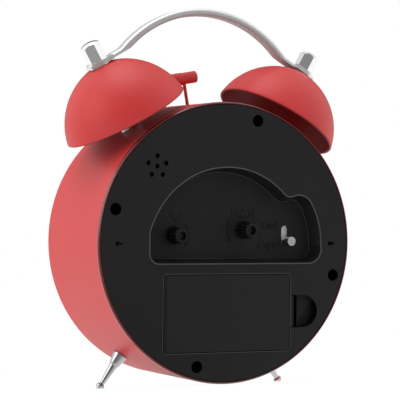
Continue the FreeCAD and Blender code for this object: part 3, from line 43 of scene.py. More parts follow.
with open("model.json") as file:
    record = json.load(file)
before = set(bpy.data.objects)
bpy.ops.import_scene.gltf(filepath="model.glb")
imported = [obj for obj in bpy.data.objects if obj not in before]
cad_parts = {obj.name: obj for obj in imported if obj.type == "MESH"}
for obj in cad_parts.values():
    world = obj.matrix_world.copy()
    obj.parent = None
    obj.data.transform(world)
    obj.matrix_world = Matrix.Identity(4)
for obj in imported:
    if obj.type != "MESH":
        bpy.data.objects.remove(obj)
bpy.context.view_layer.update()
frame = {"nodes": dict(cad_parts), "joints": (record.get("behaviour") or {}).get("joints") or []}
JOINTS = {joint["name"]: joint for joint in frame["joints"]}

# Clock frame: X to the right seen from the dial, depth in front of the rear cover's face, Z up,
# all in millimetres. The minute hand turns on the clock's own axis, at a known depth.
MM = 0.001
MINUTE_DEPTH = 46.9
REAR = Vector(JOINTS["minute_turn"]["axis"]).normalized()
RIGHT = Vector((1, 0, 0))
UP = RIGHT.cross(REAR)
MIDDLE = Vector(JOINTS["minute_turn"]["pos_m"]) + REAR * MINUTE_DEPTH * MM
SIDES = (("left", -1), ("right", 1))


def frame_matrix(place, across, up, outward):
    """Matrix whose axes are three directions and whose origin is a place."""
    made = Matrix((across, up, outward)).transposed().to_4x4()
    made.translation = place
    return made


CLOCK = frame_matrix(MIDDLE, RIGHT, REAR, UP)


def at(x, depth, z):
    """Place in the row frame, in metres, of a place in the clock frame."""
    return CLOCK @ (Vector((x, -depth, z)) * MM)


def on_rear(x, depth, z):
    """Matrix for flat work that is read from behind the clock."""
    return frame_matrix(at(x, depth, z), -RIGHT, UP, REAR)


def on_front(x, depth, z):
    """Matrix for flat work that is read from in front of the clock."""
    return frame_matrix(at(x, depth, z), RIGHT, UP, -REAR)


def along(place, direction):
    """Matrix whose third axis runs along a direction."""
    turn = direction.to_track_quat("Z", "Y").to_matrix()
    return frame_matrix(place, turn.col[0], turn.col[1], turn.col[2])


# Sizes that several pieces share, in millimetres

DRUM_RADIUS = 58.0
DRUM_DEPTH = 54.4
DRUM_SHEET = 0.8
FACE_RADIUS = 50.5
RIM_LENGTH = 1.3
RIM_BEVEL = 0.35
HAMMER_DEPTH = 29.0
SLOT_HALF = 7.2
SLOT_WIDE = 3.4
DIAL_DEPTH = 42.6
RECESS_DEPTH = 7.0
RECESS_DRAFT = 2.0
BELL_TILT = 30.0
BELL_ROOT = 5.73
BELL_DEPTH = 24.6
BELL_MOUTH = 59.44
BELL_SHEET = 0.9
THREAD_START = 50.4


class ClockLooks(bpy.types.PropertyGroup):
    """Sizes and colours of the finished pieces."""

    bell_radius: bpy.props.FloatProperty(
        name="Bell mouth", description="Outside radius of a bell's mouth",
        default=26.7 * MM, unit="LENGTH")
    bell_height: bpy.props.FloatProperty(
        name="Bell height", description="From a bell's mouth to its crown",
        default=23.9 * MM, unit="LENGTH")
    lip_radius: bpy.props.FloatProperty(
        name="Moulded lip", description="Radius of the rounded lips of the rear cover",
        default=0.27 * MM, unit="LENGTH")
    numeral_size: bpy.props.FloatProperty(
        name="Numerals", description="Height of the dial's numerals",
        default=9.5 * MM, unit="LENGTH")
    minute_marks: bpy.props.IntProperty(
        name="Minute marks", description="Marks around the dial", default=60, min=12)
    paint: bpy.props.FloatVectorProperty(
        name="Paint", description="Colour of the drum, the bells and the hammer",
        default=(0.67, 0.040, 0.040), subtype="COLOR", size=3, min=0, max=1)
    cover: bpy.props.FloatVectorProperty(
        name="Rear cover", description="Colour of the moulded rear cover",
        default=(0.0145, 0.0145, 0.015), subtype="COLOR", size=3, min=0, max=1)
    dial: bpy.props.FloatVectorProperty(
        name="Dial", description="Colour of the dial's ground",
        default=(0.94, 0.93, 0.89), subtype="COLOR", size=3, min=0, max=1)


def looks():
    return bpy.context.scene.clock_looks


# Materials

class Wire:
    """A shader socket that can be used in an expression."""

    def __init__(self, tree, socket):
        self.tree = tree
        self.socket = socket

    def math(self, operation, *values):
        node = self.tree.nodes.new("ShaderNodeMath")
        node.operation = operation
        for slot, value in enumerate(values):
            if isinstance(value, Wire):
                self.tree.links.new(value.socket, node.inputs[slot])
            else:
                node.inputs[slot].default_value = value
        return Wire(self.tree, node.outputs[0])

    def __add__(self, other):
        return self.math("ADD", self, other)

    __radd__ = __add__

    def __sub__(self, other):
        return self.math("SUBTRACT", self, other)

    def __rsub__(self, other):
        return self.math("SUBTRACT", other, self)

    def __mul__(self, other):
        return self.math("MULTIPLY", self, other)

    __rmul__ = __mul__

    def __gt__(self, other):
        return self.math("GREATER_THAN", self, other)

    def __lt__(self, other):
        return self.math("LESS_THAN", self, other)


class Finish:
    """One material: its shader's fixed values and the nodes that vary over the surface."""

    def __init__(self, name, **fixed):
        self.material = bpy.data.materials.new(name)
        self.material.use_nodes = True
        self.tree = self.material.node_tree
        self.shader = self.tree.nodes["Principled BSDF"]
        for socket, value in fixed.items():
            self.shader.inputs[socket.replace("_", " ")].default_value = value
        self.place = self.node("ShaderNodeTexCoord", output="Object")

    def node(self, kind, settings=None, inputs=None, output=0):
        """Any node: its settings are set first, then the values or links of its sockets."""
        made = self.tree.nodes.new(kind)
        for name, value in (settings or {}).items():
            if name == "stops":
                self.set_stops(made.color_ramp, value)
            else:
                setattr(made, name, value)
        for name, value in (inputs or {}).items():
            if isinstance(value, Wire):
                self.tree.links.new(value.socket, made.inputs[name])
            else:
                made.inputs[name].default_value = value
        return Wire(self.tree, made.outputs[output])

    @staticmethod
    def set_stops(ramp, stops):
        for spare in list(ramp.elements)[len(stops):]:
            ramp.elements.remove(spare)
        while len(ramp.elements) < len(stops):
            ramp.elements.new(1.0)
        for element, (position, colour) in zip(ramp.elements, stops):
            element.position = position
            element.color = (*colour, 1.0)

    def noise(self, scale, detail=2.0, roughness=0.5, place=None):
        """Noise from 0 to 1 with a number of cells to the metre."""
        inputs = {"Vector": place or self.place, "Scale": scale, "Detail": detail, "Roughness": roughness}
        return self.node("ShaderNodeTexNoise", inputs=inputs, output="Fac")

    def vector(self, operation, *values):
        """Vector maths; lengths, distances and dot products come out as plain values."""
        output = "Value" if operation in ("LENGTH", "DISTANCE", "DOT_PRODUCT") else "Vector"
        return self.node("ShaderNodeVectorMath", {"operation": operation}, dict(enumerate(values)), output)

    def stretched(self, x, y, z):
        """Object coordinates scaled along the clock's own X, depth and Z."""
        turned_place = self.node("ShaderNodeMapping", inputs={
            "Vector": self.place, "Rotation": CLOCK.to_3x3().inverted().to_euler()})
        return self.vector("MULTIPLY", turned_place, (x, y, z))

    def distance(self, origin, direction):
        """Distance from a place along a direction, in metres."""
        return self.vector("DOT_PRODUCT", self.place, direction) - origin.dot(direction)

    def blend(self, factor, first, second):
        """Colour between two colours."""
        inputs = {0: factor}
        for slot, colour in ((6, first), (7, second)):
            inputs[slot] = colour if isinstance(colour, Wire) else (*colour, 1.0)
        return self.node("ShaderNodeMix", {"data_type": "RGBA"}, inputs, output=2)

    def bump(self, height, distance, strength=1.0):
        return self.node("ShaderNodeBump", inputs={
            "Height": height, "Distance": distance, "Strength": strength}, output="Normal")

    def put(self, **varying):
        """Join what varies to the shader's sockets."""
        for socket, value in varying.items():
            target = self.shader.inputs[socket.replace("_", " ")]
            if isinstance(value, Wire):
                self.tree.links.new(value.socket, target)
            else:
                target.default_value = value
        return self.material


def shade(colour, factor):
    return tuple(min(1.0, part * factor) for part in colour)


def paint(name, glossy_shaded_edge=False, inside_shade=False):
    """Stoved red coat with a faint orange peel; it is thin and glossy on the drum's rear edge."""
    made = Finish(name, Specular_IOR_Level=0.44)
    # Painted shade: inside the bells the paint is 0.4 of its colour.
    colour = shade(tuple(looks().paint), 0.4 if inside_shade else 1.0)
    cloud = made.noise(35.0, 3.0)
    speck = made.noise(2600.0, 1.0)
    peel = made.noise(900.0, 2.0)
    coat = made.blend(cloud, shade(colour, 0.94), shade(colour, 1.05))
    coat = made.blend(speck * 0.16, coat, shade(colour, 1.5))
    rough = 0.40 + cloud * 0.08 + speck * 0.05
    normal = made.bump(peel * 0.7 + speck * 0.3, 0.00002, 0.6)
    if not glossy_shaded_edge:
        return made.put(Base_Color=coat, Roughness=rough, Normal=normal)
    edge = made.distance(MIDDLE - REAR * RIM_LENGTH * MM, REAR) > 0.0
    # Painted shade: the rear edge is 0.16 to 0.3 of the paint's colour, so that it shows only its highlights.
    rolled = made.blend(made.noise(400.0), shade(colour, 0.16), shade(colour, 0.3))
    return made.put(Base_Color=made.blend(edge, coat, rolled), Roughness=rough - edge * 0.26,
                    Coat_Weight=edge * 0.9, Normal=normal)


GRAIN_SCALE = 3800.0


def moulded(name, colour, rough, grain=0.00003, specular=0.35):
    """Moulded plastic with the fine spark-eroded grain of its tool."""
    made = Finish(name, Specular_IOR_Level=specular)
    grains = made.noise(GRAIN_SCALE, 2.0, 0.6)
    cloud = made.noise(28.0, 3.0)
    base = made.blend(cloud, shade(colour, 0.88), shade(colour, 1.12))
    base = made.blend(grains * 0.35, base, shade(colour, 1.5))
    return made.put(Base_Color=base, Roughness=rough - 0.05 + cloud * 0.07 + grains * 0.08,
                    Normal=made.bump(grains, grain, 0.8))


SCREW_RING = 48.0
SOUND_PLACE = (32.5, 2.0, 31.0)
SOUND_REACH = 7.0


def cover_skin(name, colour):
    """Textured face; the walls and bores behind it, above the recess's floor, are plain and dark."""
    made = Finish(name, Specular_IOR_Level=0.24)
    depth = made.distance(MIDDLE, -REAR)
    inside = depth > 0.25 * MM
    wall = inside * (depth < (RECESS_DEPTH - 0.1) * MM)
    aside = made.vector("CROSS_PRODUCT", made.vector("SUBTRACT", made.place, MIDDLE), REAR)
    out = made.vector("LENGTH", aside)
    sound = made.vector("DISTANCE", made.place, at(*SOUND_PLACE))
    bore = inside * ((out > SCREW_RING * MM) + (sound < SOUND_REACH * MM))
    deep = (depth > (RECESS_DEPTH + 0.4) * MM) + bore
    grains = made.noise(GRAIN_SCALE, 2.0, 0.6)
    cloud = made.noise(28.0, 3.0)
    face = made.blend(cloud, shade(colour, 0.85), shade(colour, 1.15))
    face = made.blend(grains * 0.35, face, shade(colour, 1.6))
    # Painted shade: the recess's walls at 0.85 of the face's colour.
    face = made.blend(wall, face, shade(colour, 0.85))
    # Painted shade: bores and all beyond the recess's floor at 0.12 of the colour.
    return made.put(Base_Color=made.blend(deep.math("MINIMUM", deep, 1.0), face, shade(colour, 0.12)),
                    Roughness=0.47 + cloud * 0.07 + grains * 0.08 - wall * 0.12,
                    Normal=made.bump(grains, 0.00003, 0.8))


def polished(name, colour, rough):
    """Smooth plastic with faint marks of handling."""
    made = Finish(name, Specular_IOR_Level=0.45)
    smudge = made.noise(160.0, 4.0, 0.6)
    wave = made.noise(55.0, 1.0)
    base = made.blend(smudge, shade(colour, 0.92), shade(colour, 1.06))
    return made.put(Base_Color=base, Roughness=rough + smudge * 0.12,
                    Normal=made.bump(wave, 0.00002, 0.4))


def plated(name, colour, rough):
    """Bright plating with a slight unevenness."""
    made = Finish(name, Metallic=1.0)
    smudge = made.noise(220.0, 4.0, 0.6)
    wave = made.noise(90.0, 1.0)
    base = made.blend(smudge, shade(colour, 0.94), shade(colour, 1.04))
    return made.put(Base_Color=base, Roughness=rough + smudge * 0.07,
                    Normal=made.bump(wave, 0.00001, 0.5))


def satin_strip(name):
    """Satin plated strip: fine lines run along the handle's arch."""
    made = Finish(name, Metallic=1.0)
    lines = made.noise(1.0, 3.0, 0.7, made.stretched(60.0, 4200.0, 60.0))
    cloud = made.noise(70.0, 3.0)
    base = made.blend(lines, (0.80, 0.80, 0.80), (0.95, 0.95, 0.94))
    return made.put(Base_Color=base, Roughness=0.34 + lines * 0.12 + cloud * 0.06,
                    Normal=made.bump(lines, 0.000006, 0.5))


def plain_metal(name, colour, rough, line_scale=900.0):
    """Turned or pressed metal with fine tool marks."""
    made = Finish(name, Metallic=1.0)
    lines = made.noise(1.0, 3.0, 0.6, made.stretched(line_scale, line_scale * 0.1, line_scale))
    cloud = made.noise(150.0, 3.0)
    base = made.blend(cloud, shade(colour, 0.82), shade(colour, 1.08))
    return made.put(Base_Color=base, Roughness=rough - 0.05 + lines * 0.14,
                    Normal=made.bump(lines, 0.00001, 0.5))


def winding(name):
    """Layers of fine enamelled copper wire, wound across the clock's X."""
    made = Finish(name, Metallic=0.85)
    turns = made.node("ShaderNodeTexWave", {"wave_type": "BANDS", "bands_direction": "X"}, {
        "Vector": made.place, "Scale": 900.0, "Distortion": 0.4}, output="Fac")
    base = made.blend(turns, (0.20, 0.055, 0.015), (0.75, 0.27, 0.08))
    return made.put(Base_Color=base, Roughness=0.28 + turns * 0.1, Normal=made.bump(turns, 0.00006, 0.8))


def printed(name, colour):
    """Matt printed sheet with a very fine tooth."""
    made = Finish(name, Specular_IOR_Level=0.3)
    tooth = made.noise(5200.0, 2.0)
    cloud = made.noise(22.0, 2.0)
    base = made.blend(cloud, shade(colour, 0.97), shade(colour, 1.02))
    return made.put(Base_Color=base, Roughness=0.55 + tooth * 0.15, Normal=made.bump(tooth, 0.00001, 0.5))


def cell_sleeve(name, end):
    """Printed sleeve of a cell with a bare band at its positive end; end is +1 or -1 along X."""
    made = Finish(name, Specular_IOR_Level=0.5)
    outer = Vector((end * 20.5 * MM, 0, 0))
    band = made.distance(outer, RIGHT * end) > 0.0
    cloud = made.noise(60.0, 2.0)
    sleeve = made.blend(cloud, (0.045, 0.06, 0.085), (0.06, 0.08, 0.11))
    return made.put(Base_Color=made.blend(band, sleeve, (0.72, 0.71, 0.68)), Metallic=band * 0.9,
                    Roughness=0.3 + cloud * 0.08)


def window(name):
    """Clear pressed glass."""
    made = Finish(name, Transmission_Weight=1.0, IOR=1.46, Base_Color=(1.0, 1.0, 1.0, 1.0))
    smudge = made.noise(45.0, 4.0, 0.7)
    made.put(Roughness=smudge * 0.025)
    clear = made.node("ShaderNodeBsdfTransparent", inputs={"Color": (1.0, 1.0, 1.0, 1.0)})
    mixed = made.node("ShaderNodeMixShader", inputs={
        0: made.node("ShaderNodeLightPath", output="Is Shadow Ray"),
        1: Wire(made.tree, made.shader.outputs[0]), 2: clear})
    made.tree.links.new(mixed.socket, made.tree.nodes["Material Output"].inputs[0])
    return made.material


def board(name):
    """Green solder resist over darker tracks."""
    made = Finish(name, Specular_IOR_Level=0.5)
    tracks = made.node("ShaderNodeTexVoronoi", {"feature": "DISTANCE_TO_EDGE"}, {
        "Vector": made.place, "Scale": 420.0}, output="Distance")
    line = tracks < 0.05
    base = made.blend(line, (0.012, 0.10, 0.045), (0.02, 0.20, 0.09))
    return made.put(Base_Color=base, Roughness=0.3 + line * 0.1, Normal=made.bump(line, 0.00004, 0.6))


def tone(share, factor=1.0):
    """A colour of the looks, read when its finish is made."""
    return lambda: shade(tuple(getattr(looks(), share)), factor)


def grey(level):
    return (level, level, level)


# Each finish: its maker and the values after the name.
FINISHES = {
    "red_coat": (paint,),
    "drum_coat": (paint, True),
    # Painted shade inside the bells.
    "bell_lining": (paint, False, True),
    "cover_black": (cover_skin, tone("cover")),
    # Painted highlight: the lips are 5.5 times as light as the cover.
    "lip_black": (polished, tone("cover", 5.5), 0.3),
    "door_black": (moulded, tone("cover", 1.15), 0.50, 0.000025, 0.24),
    "mark_black": (polished, grey(0.006), 0.3),
    # Painted shade: near black with almost no gloss, for hollows, holes and what is seen in them.
    "deep_black": (moulded, grey(0.002), 0.8, 0.00003, 0.03),
    "knob_black": (polished, (0.008, 0.008, 0.009), 0.22),
    "carrier_black": (moulded, (0.02, 0.02, 0.021), 0.6),
    "pin_white": (polished, (0.90, 0.90, 0.89), 0.14),
    "bobbin_white": (moulded, (0.78, 0.77, 0.72), 0.45, 0.00001),
    "bright_plate": (plated, grey(0.94), 0.07),
    "pin_bright": (plated, grey(0.94), 0.22),
    "foot_plate": (plated, grey(0.56), 0.12),
    "satin_plate": (satin_strip,),
    # Painted shade on the handle's face towards the bells.
    "strip_shade": (polished, grey(0.42), 0.4),
    "plain_steel": (plain_metal, (0.60, 0.60, 0.59), 0.35),
    "screw_steel": (plain_metal, (0.50, 0.49, 0.46), 0.4, 1600.0),
    "screw_black": (plain_metal, (0.02, 0.02, 0.021), 0.5, 1600.0),
    "spring_nickel": (plain_metal, (0.74, 0.72, 0.66), 0.22),
    "copper_wire": (winding,),
    "gear_cream": (moulded, (0.74, 0.66, 0.45), 0.38, 0.00001),
    "works_grey": (moulded, (0.32, 0.34, 0.35), 0.5),
    "magnet_grey": (moulded, (0.05, 0.05, 0.055), 0.55),
    "lead_red": (polished, (0.45, 0.02, 0.02), 0.35),
    "board_green": (board,),
    "dial_cream": (printed, tone("dial")),
    "ink_black": (printed, (0.010, 0.010, 0.011)),
    "hand_black": (polished, grey(0.012), 0.3),
    "hand_red": (polished, (0.55, 0.02, 0.02), 0.3),
    "hand_glow": (printed, (0.62, 0.72, 0.50)),
    "clear_glass": (window,),
    "upper_sleeve": (cell_sleeve, 1),
    "lower_sleeve": (cell_sleeve, -1),
}


def finish(name):
    """The material of a finish, made when it is first asked for."""
    made = bpy.data.materials.get(name)
    if made is None:
        maker, *values = FINISHES[name]
        made = maker(name, *[value() if callable(value) else value for value in values])
    return made


def dress(material, *nodes):
    """Give CAD nodes that keep their own shape a material."""
    for node in nodes:
        mesh = frame["nodes"][node].data
        mesh.materials.clear()
        mesh.materials.append(finish(material))


# Pieces

def smooth(mesh, degrees=32.0):
    """Smooth shading with crisp edges where faces meet at more than an angle.

    A mesh that already has its own normals, from a bevel that keeps flat faces flat, is left alone.
    """
    if mesh.has_custom_normals:
        return
    mesh.polygons.foreach_set("use_smooth", [True] * len(mesh.polygons))
    mesh.set_sharp_from_angle(angle=math.radians(degrees))
    mesh.update()


def settle(obj):
    """Apply what is live on an object and leave it a plain mesh at the origin."""
    bpy.context.view_layer.update()
    evaluated = obj.evaluated_get(bpy.context.evaluated_depsgraph_get())
    mesh = bpy.data.meshes.new_from_object(evaluated)
    mesh.transform(obj.matrix_world)
    plain = bpy.data.objects.new(obj.name + "_plain", mesh)
    bpy.context.scene.collection.objects.link(plain)
    name = obj.name
    bpy.data.objects.remove(obj)
    plain.name = name
    mesh.name = name
    return plain


def piece(name, mesh, material=None):
    """Object at the origin with one mesh and one material."""
    obj = bpy.data.objects.new(name, mesh)
    bpy.context.scene.collection.objects.link(obj)
    if material:
        mesh.materials.clear()
        mesh.materials.append(finish(material))
    return obj


def from_bmesh(name, work, material=None):
    mesh = bpy.data.meshes.new(name)
    work.to_mesh(mesh)
    work.free()
    return piece(name, mesh, material)


def ready(obj, body, nodes=(), degrees=32.0):
    """Last step of each piece: shading, what it rides on, its slot and what it stands for."""
    smooth(obj.data, degrees)
    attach(obj, body)
    if nodes:
        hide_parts(*nodes)
    return obj


def rounded(name, node, material, body, width, segments=2, angle=38.0):
    """Copy of a CAD node that stands for it, with its corners rounded; the width is in millimetres."""
    work = bmesh.new()
    work.from_mesh(frame["nodes"][node].data)
    bmesh.ops.remove_doubles(work, verts=work.verts, dist=0.002 * MM)
    bmesh.ops.dissolve_limit(work, angle_limit=math.radians(0.4), verts=work.verts, edges=work.edges)
    obj = from_bmesh(name, work, material)
    if width:
        smooth(obj.data, angle)
        bevel = obj.modifiers.new("round", "BEVEL")
        bevel.width = width * MM
        bevel.segments = segments
        bevel.limit_method = "ANGLE"
        bevel.angle_limit = math.radians(angle)
        bevel.use_clamp_overlap = True
        bevel.harden_normals = True
    return ready(settle(obj), body, [node])


def turned(name, profile, matrix, material, segments=96):
    """Closed profile of (radius, height) in millimetres, turned about a matrix's third axis."""
    work = bmesh.new()
    rings = []
    for i in range(segments):
        angle = 2 * math.pi * i / segments
        rings.append([work.verts.new(matrix @ (Vector((r * math.cos(angle), r * math.sin(angle), h)) * MM))
                      for r, h in profile])
    count = len(profile)
    for i in range(segments):
        a, b = rings[i], rings[(i + 1) % segments]
        for j in range(count):
            k = (j + 1) % count
            if profile[j][0] < 1e-6 and profile[k][0] < 1e-6:
                continue
            work.faces.new((a[j], b[j], b[k], a[k]))
    bmesh.ops.remove_doubles(work, verts=work.verts, dist=0.001 * MM)
    bmesh.ops.dissolve_degenerate(work, dist=0.0005 * MM, edges=work.edges)
    bmesh.ops.recalc_face_normals(work, faces=work.faces)
    return from_bmesh(name, work, material)


def arc(first, middle, last, count):
    """Points on the circle through three points, ends included."""
    (ax, ay), (bx, by), (cx, cy) = first, middle, last
    d = 2 * (ax * (by - cy) + bx * (cy - ay) + cx * (ay - by))
    a2, b2, c2 = ax * ax + ay * ay, bx * bx + by * by, cx * cx + cy * cy
    x = (a2 * (by - cy) + b2 * (cy - ay) + c2 * (ay - by)) / d
    y = (a2 * (cx - bx) + b2 * (ax - cx) + c2 * (bx - ax)) / d
    radius = math.hypot(ax - x, ay - y)
    start = math.atan2(ay - y, ax - x)
    sweep = math.remainder(math.atan2(cy - y, cx - x) - start, 2 * math.pi)
    half = math.remainder(math.atan2(by - y, bx - x) - start, 2 * math.pi)
    if half * sweep < 0:
        sweep -= math.copysign(2 * math.pi, sweep)
    angles = [start + sweep * i / (count - 1) for i in range(count)]
    return [(x + radius * math.cos(t), y + radius * math.sin(t)) for t in angles]


def lettering(name, text, size, matrix, material, thick=0.12, stretch=1.0):
    """Raised letters; size and thickness are in millimetres, stretch widens them."""
    curve = bpy.data.curves.new(name, "FONT")
    curve.body = text
    curve.size = size * MM
    curve.align_x = "CENTER"
    curve.align_y = "CENTER"
    curve.extrude = thick * MM / 2
    curve.resolution_u = 4
    obj = bpy.data.objects.new(name, curve)
    bpy.context.scene.collection.objects.link(obj)
    lift = Matrix.Translation((0, 0, thick * MM / 2))
    obj.matrix_world = matrix @ lift @ Matrix.Diagonal((stretch, 1, 1, 1))
    made = settle(obj)
    made.data.materials.clear()
    made.data.materials.append(finish(material))
    return made


def join(name, parts):
    """One object from several plain ones."""
    work = bmesh.new()
    for part in parts:
        work.from_mesh(part.data)
    material = parts[0].data.materials[0]
    for part in parts:
        bpy.data.objects.remove(part)
    made = from_bmesh(name, work)
    made.data.materials.append(material)
    return made


# Geometry Nodes

def new_tree(name, inputs):
    """Node group with a geometry in and out and named inputs; returns it and its ends."""
    tree = bpy.data.node_groups.new(name, "GeometryNodeTree")
    face = tree.interface
    face.new_socket("Geometry", in_out="OUTPUT", socket_type="NodeSocketGeometry")
    face.new_socket("Geometry", in_out="INPUT", socket_type="NodeSocketGeometry")
    for label, kind in inputs.items():
        face.new_socket(label, in_out="INPUT", socket_type=kind)
    start = tree.nodes.new("NodeGroupInput")
    end = tree.nodes.new("NodeGroupOutput")
    return tree, start, end


def geometry(tree, kind, settings=None, **sockets):
    """One geometry node; sockets are given by name, as values or as other nodes' sockets."""
    made = tree.nodes.new(kind)
    for name, value in (settings or {}).items():
        setattr(made, name, value)
    for name, value in sockets.items():
        label = name.replace("_", " ")
        target = next(s for s in made.inputs if s.name == label and s.enabled)
        if isinstance(value, bpy.types.NodeSocket):
            tree.links.new(value, target)
        else:
            target.default_value = value
    return made


def close_tree(tree, end, shape, material):
    """Every tree ends in real geometry with its material set."""
    real = geometry(tree, "GeometryNodeRealizeInstances", Geometry=shape)
    coated = geometry(tree, "GeometryNodeSetMaterial", Geometry=real.outputs[0], Material=material)
    tree.links.new(coated.outputs[0], end.inputs[0])


def grow(obj, tree, values):
    """Run a tree on an object with values for its named inputs and keep the plain result."""
    modifier = obj.modifiers.new("grow", "NODES")
    modifier.node_group = tree
    for item in tree.interface.items_tree:
        if item.in_out == "INPUT" and item.name in values:
            modifier[item.identifier] = values[item.name]
    return settle(obj)


def bead_tree():
    """Round bead along a path."""
    tree, start, end = new_tree("bead_on_path", {
        "Radius": "NodeSocketFloat", "Sides": "NodeSocketInt", "Material": "NodeSocketMaterial"})
    circle = geometry(tree, "GeometryNodeCurvePrimitiveCircle", {"mode": "RADIUS"},
                      Resolution=start.outputs["Sides"], Radius=start.outputs["Radius"])
    curve = geometry(tree, "GeometryNodeMeshToCurve", Mesh=start.outputs["Geometry"])
    tube = geometry(tree, "GeometryNodeCurveToMesh", Curve=curve.outputs[0],
                    Profile_Curve=circle.outputs[0], Fill_Caps=True)
    close_tree(tree, end, tube.outputs[0], start.outputs["Material"])
    return tree


def marks_tree():
    """Marks around a dial, every fifth one longer and broader."""
    tree, start, end = new_tree("marks_around_dial", {
        "Count": "NodeSocketInt", "Radius": "NodeSocketFloat", "Length": "NodeSocketFloat",
        "Width": "NodeSocketFloat", "Height": "NodeSocketFloat", "Material": "NodeSocketMaterial"})
    circle = geometry(tree, "GeometryNodeMeshCircle", Vertices=start.outputs["Count"],
                      Radius=start.outputs["Radius"])
    size = geometry(tree, "ShaderNodeCombineXYZ", X=start.outputs["Length"], Y=start.outputs["Width"],
                    Z=start.outputs["Height"])
    mark = geometry(tree, "GeometryNodeMeshCube", Size=size.outputs[0])
    index = geometry(tree, "GeometryNodeInputIndex")
    fifth = tree.nodes.new("ShaderNodeMath")
    fifth.operation = "MODULO"
    tree.links.new(index.outputs[0], fifth.inputs[0])
    fifth.inputs[1].default_value = 5.0
    small = tree.nodes.new("ShaderNodeMath")
    small.operation = "GREATER_THAN"
    tree.links.new(fifth.outputs[0], small.inputs[0])
    small.inputs[1].default_value = 0.5
    scale = geometry(tree, "ShaderNodeMix", {"data_type": "VECTOR"})
    tree.links.new(small.outputs[0], scale.inputs[0])
    scale.inputs[4].default_value = (1.0, 1.0, 1.0)
    scale.inputs[5].default_value = (0.5, 0.4, 1.0)
    place = geometry(tree, "GeometryNodeInputPosition")
    turn = geometry(tree, "FunctionNodeAlignRotationToVector", {"axis": "X"}, Vector=place.outputs[0])
    marks = geometry(tree, "GeometryNodeInstanceOnPoints", Points=circle.outputs[0],
                     Instance=mark.outputs[0], Rotation=turn.outputs[0], Scale=scale.outputs[1])
    close_tree(tree, end, marks.outputs[0], start.outputs["Material"])
    return tree


def thread_tree():
    """Rings of a thread, a pitch apart, along the object's third axis."""
    tree, start, end = new_tree("thread_on_stud", {
        "Radius": "NodeSocketFloat", "Pitch": "NodeSocketFloat", "Turns": "NodeSocketFloat",
        "Ridge": "NodeSocketFloat", "Material": "NodeSocketMaterial"})
    rise = geometry(tree, "ShaderNodeMath", {"operation": "MULTIPLY"})
    tree.links.new(start.outputs["Pitch"], rise.inputs[0])
    tree.links.new(start.outputs["Turns"], rise.inputs[1])
    helix = geometry(tree, "GeometryNodeCurveSpiral", Resolution=24, Rotations=start.outputs["Turns"],
                     Start_Radius=start.outputs["Radius"], End_Radius=start.outputs["Radius"],
                     Height=rise.outputs[0])
    ridge = geometry(tree, "GeometryNodeCurvePrimitiveCircle", {"mode": "RADIUS"},
                     Resolution=5, Radius=start.outputs["Ridge"])
    tube = geometry(tree, "GeometryNodeCurveToMesh", Curve=helix.outputs[0],
                    Profile_Curve=ridge.outputs[0], Fill_Caps=True)
    close_tree(tree, end, tube.outputs[0], start.outputs["Material"])
    return tree


def tree_named(name, maker):
    return bpy.data.node_groups.get(name) or maker()


def bead(name, places, radius, material, closed=True):
    """Round bead through places in the row frame; the radius is in metres."""
    mesh = bpy.data.meshes.new(name)
    count = len(places)
    edges = [(i, i + 1) for i in range(count - 1)]
    if closed:
        edges.append((count - 1, 0))
    mesh.from_pydata([tuple(p) for p in places], edges, [])
    obj = piece(name, mesh)
    return grow(obj, tree_named("bead_on_path", bead_tree), {
        "Radius": radius, "Sides": 8, "Material": finish(material)})


def thread(name, matrix, radius, pitch, turns, material):
    """Fine thread on a stud; sizes in millimetres."""
    obj = piece(name, bpy.data.meshes.new(name))
    obj.matrix_world = matrix
    return grow(obj, tree_named("thread_on_stud", thread_tree), {
        "Radius": radius * MM, "Pitch": pitch * MM, "Turns": turns, "Ridge": pitch * 0.42 * MM,
        "Material": finish(material)})


# Drum

def drum_profile():
    """Pressed sheet from its bevelled rear edge to the rolled front lip, as radius and depth."""
    outer, sheet, front = DRUM_RADIUS, DRUM_SHEET, DRUM_DEPTH
    turn = 2.5
    middle = (outer - turn, front - turn)
    diagonal = math.sqrt(0.5)
    roll = arc((outer, middle[1]), (middle[0] + turn * diagonal, middle[1] + turn * diagonal),
               (middle[0], front), 9)
    lip = arc((FACE_RADIUS + sheet / 2, front), (FACE_RADIUS, front - sheet / 2),
              (FACE_RADIUS + sheet / 2, front - sheet), 7)
    inside = turn - sheet
    back = arc((middle[0], front - sheet), (middle[0] + inside * diagonal, middle[1] + inside * diagonal),
               (outer - sheet, middle[1]), 7)
    edge = [(outer - sheet, 0.0)] + arc((outer - RIM_BEVEL, 0.0), (outer - 0.08, 0.4), (outer, RIM_LENGTH), 6)
    return edge + roll + lip + back


def make_drum():
    matrix = along(MIDDLE, -REAR)
    obj = turned("drum", drum_profile(), matrix, "drum_coat", 192)
    work = bmesh.new()
    bmesh.ops.create_cube(work, size=1.0)
    size = Matrix.Diagonal((2 * SLOT_HALF * MM, SLOT_WIDE * MM, 10 * MM, 1.0))
    work.transform(frame_matrix(at(0, HAMMER_DEPTH, DRUM_RADIUS), RIGHT, REAR, UP) @ size)
    cutter = from_bmesh("slot_cutter", work)
    slot = obj.modifiers.new("slot", "BOOLEAN")
    slot.operation = "DIFFERENCE"
    slot.solver = "EXACT"
    slot.object = cutter
    obj = settle(obj)
    bpy.data.objects.remove(cutter)
    obj.data.materials.clear()
    obj.data.materials.append(finish("drum_coat"))
    ready(obj, "case", ["case_drum"])


# Rear cover

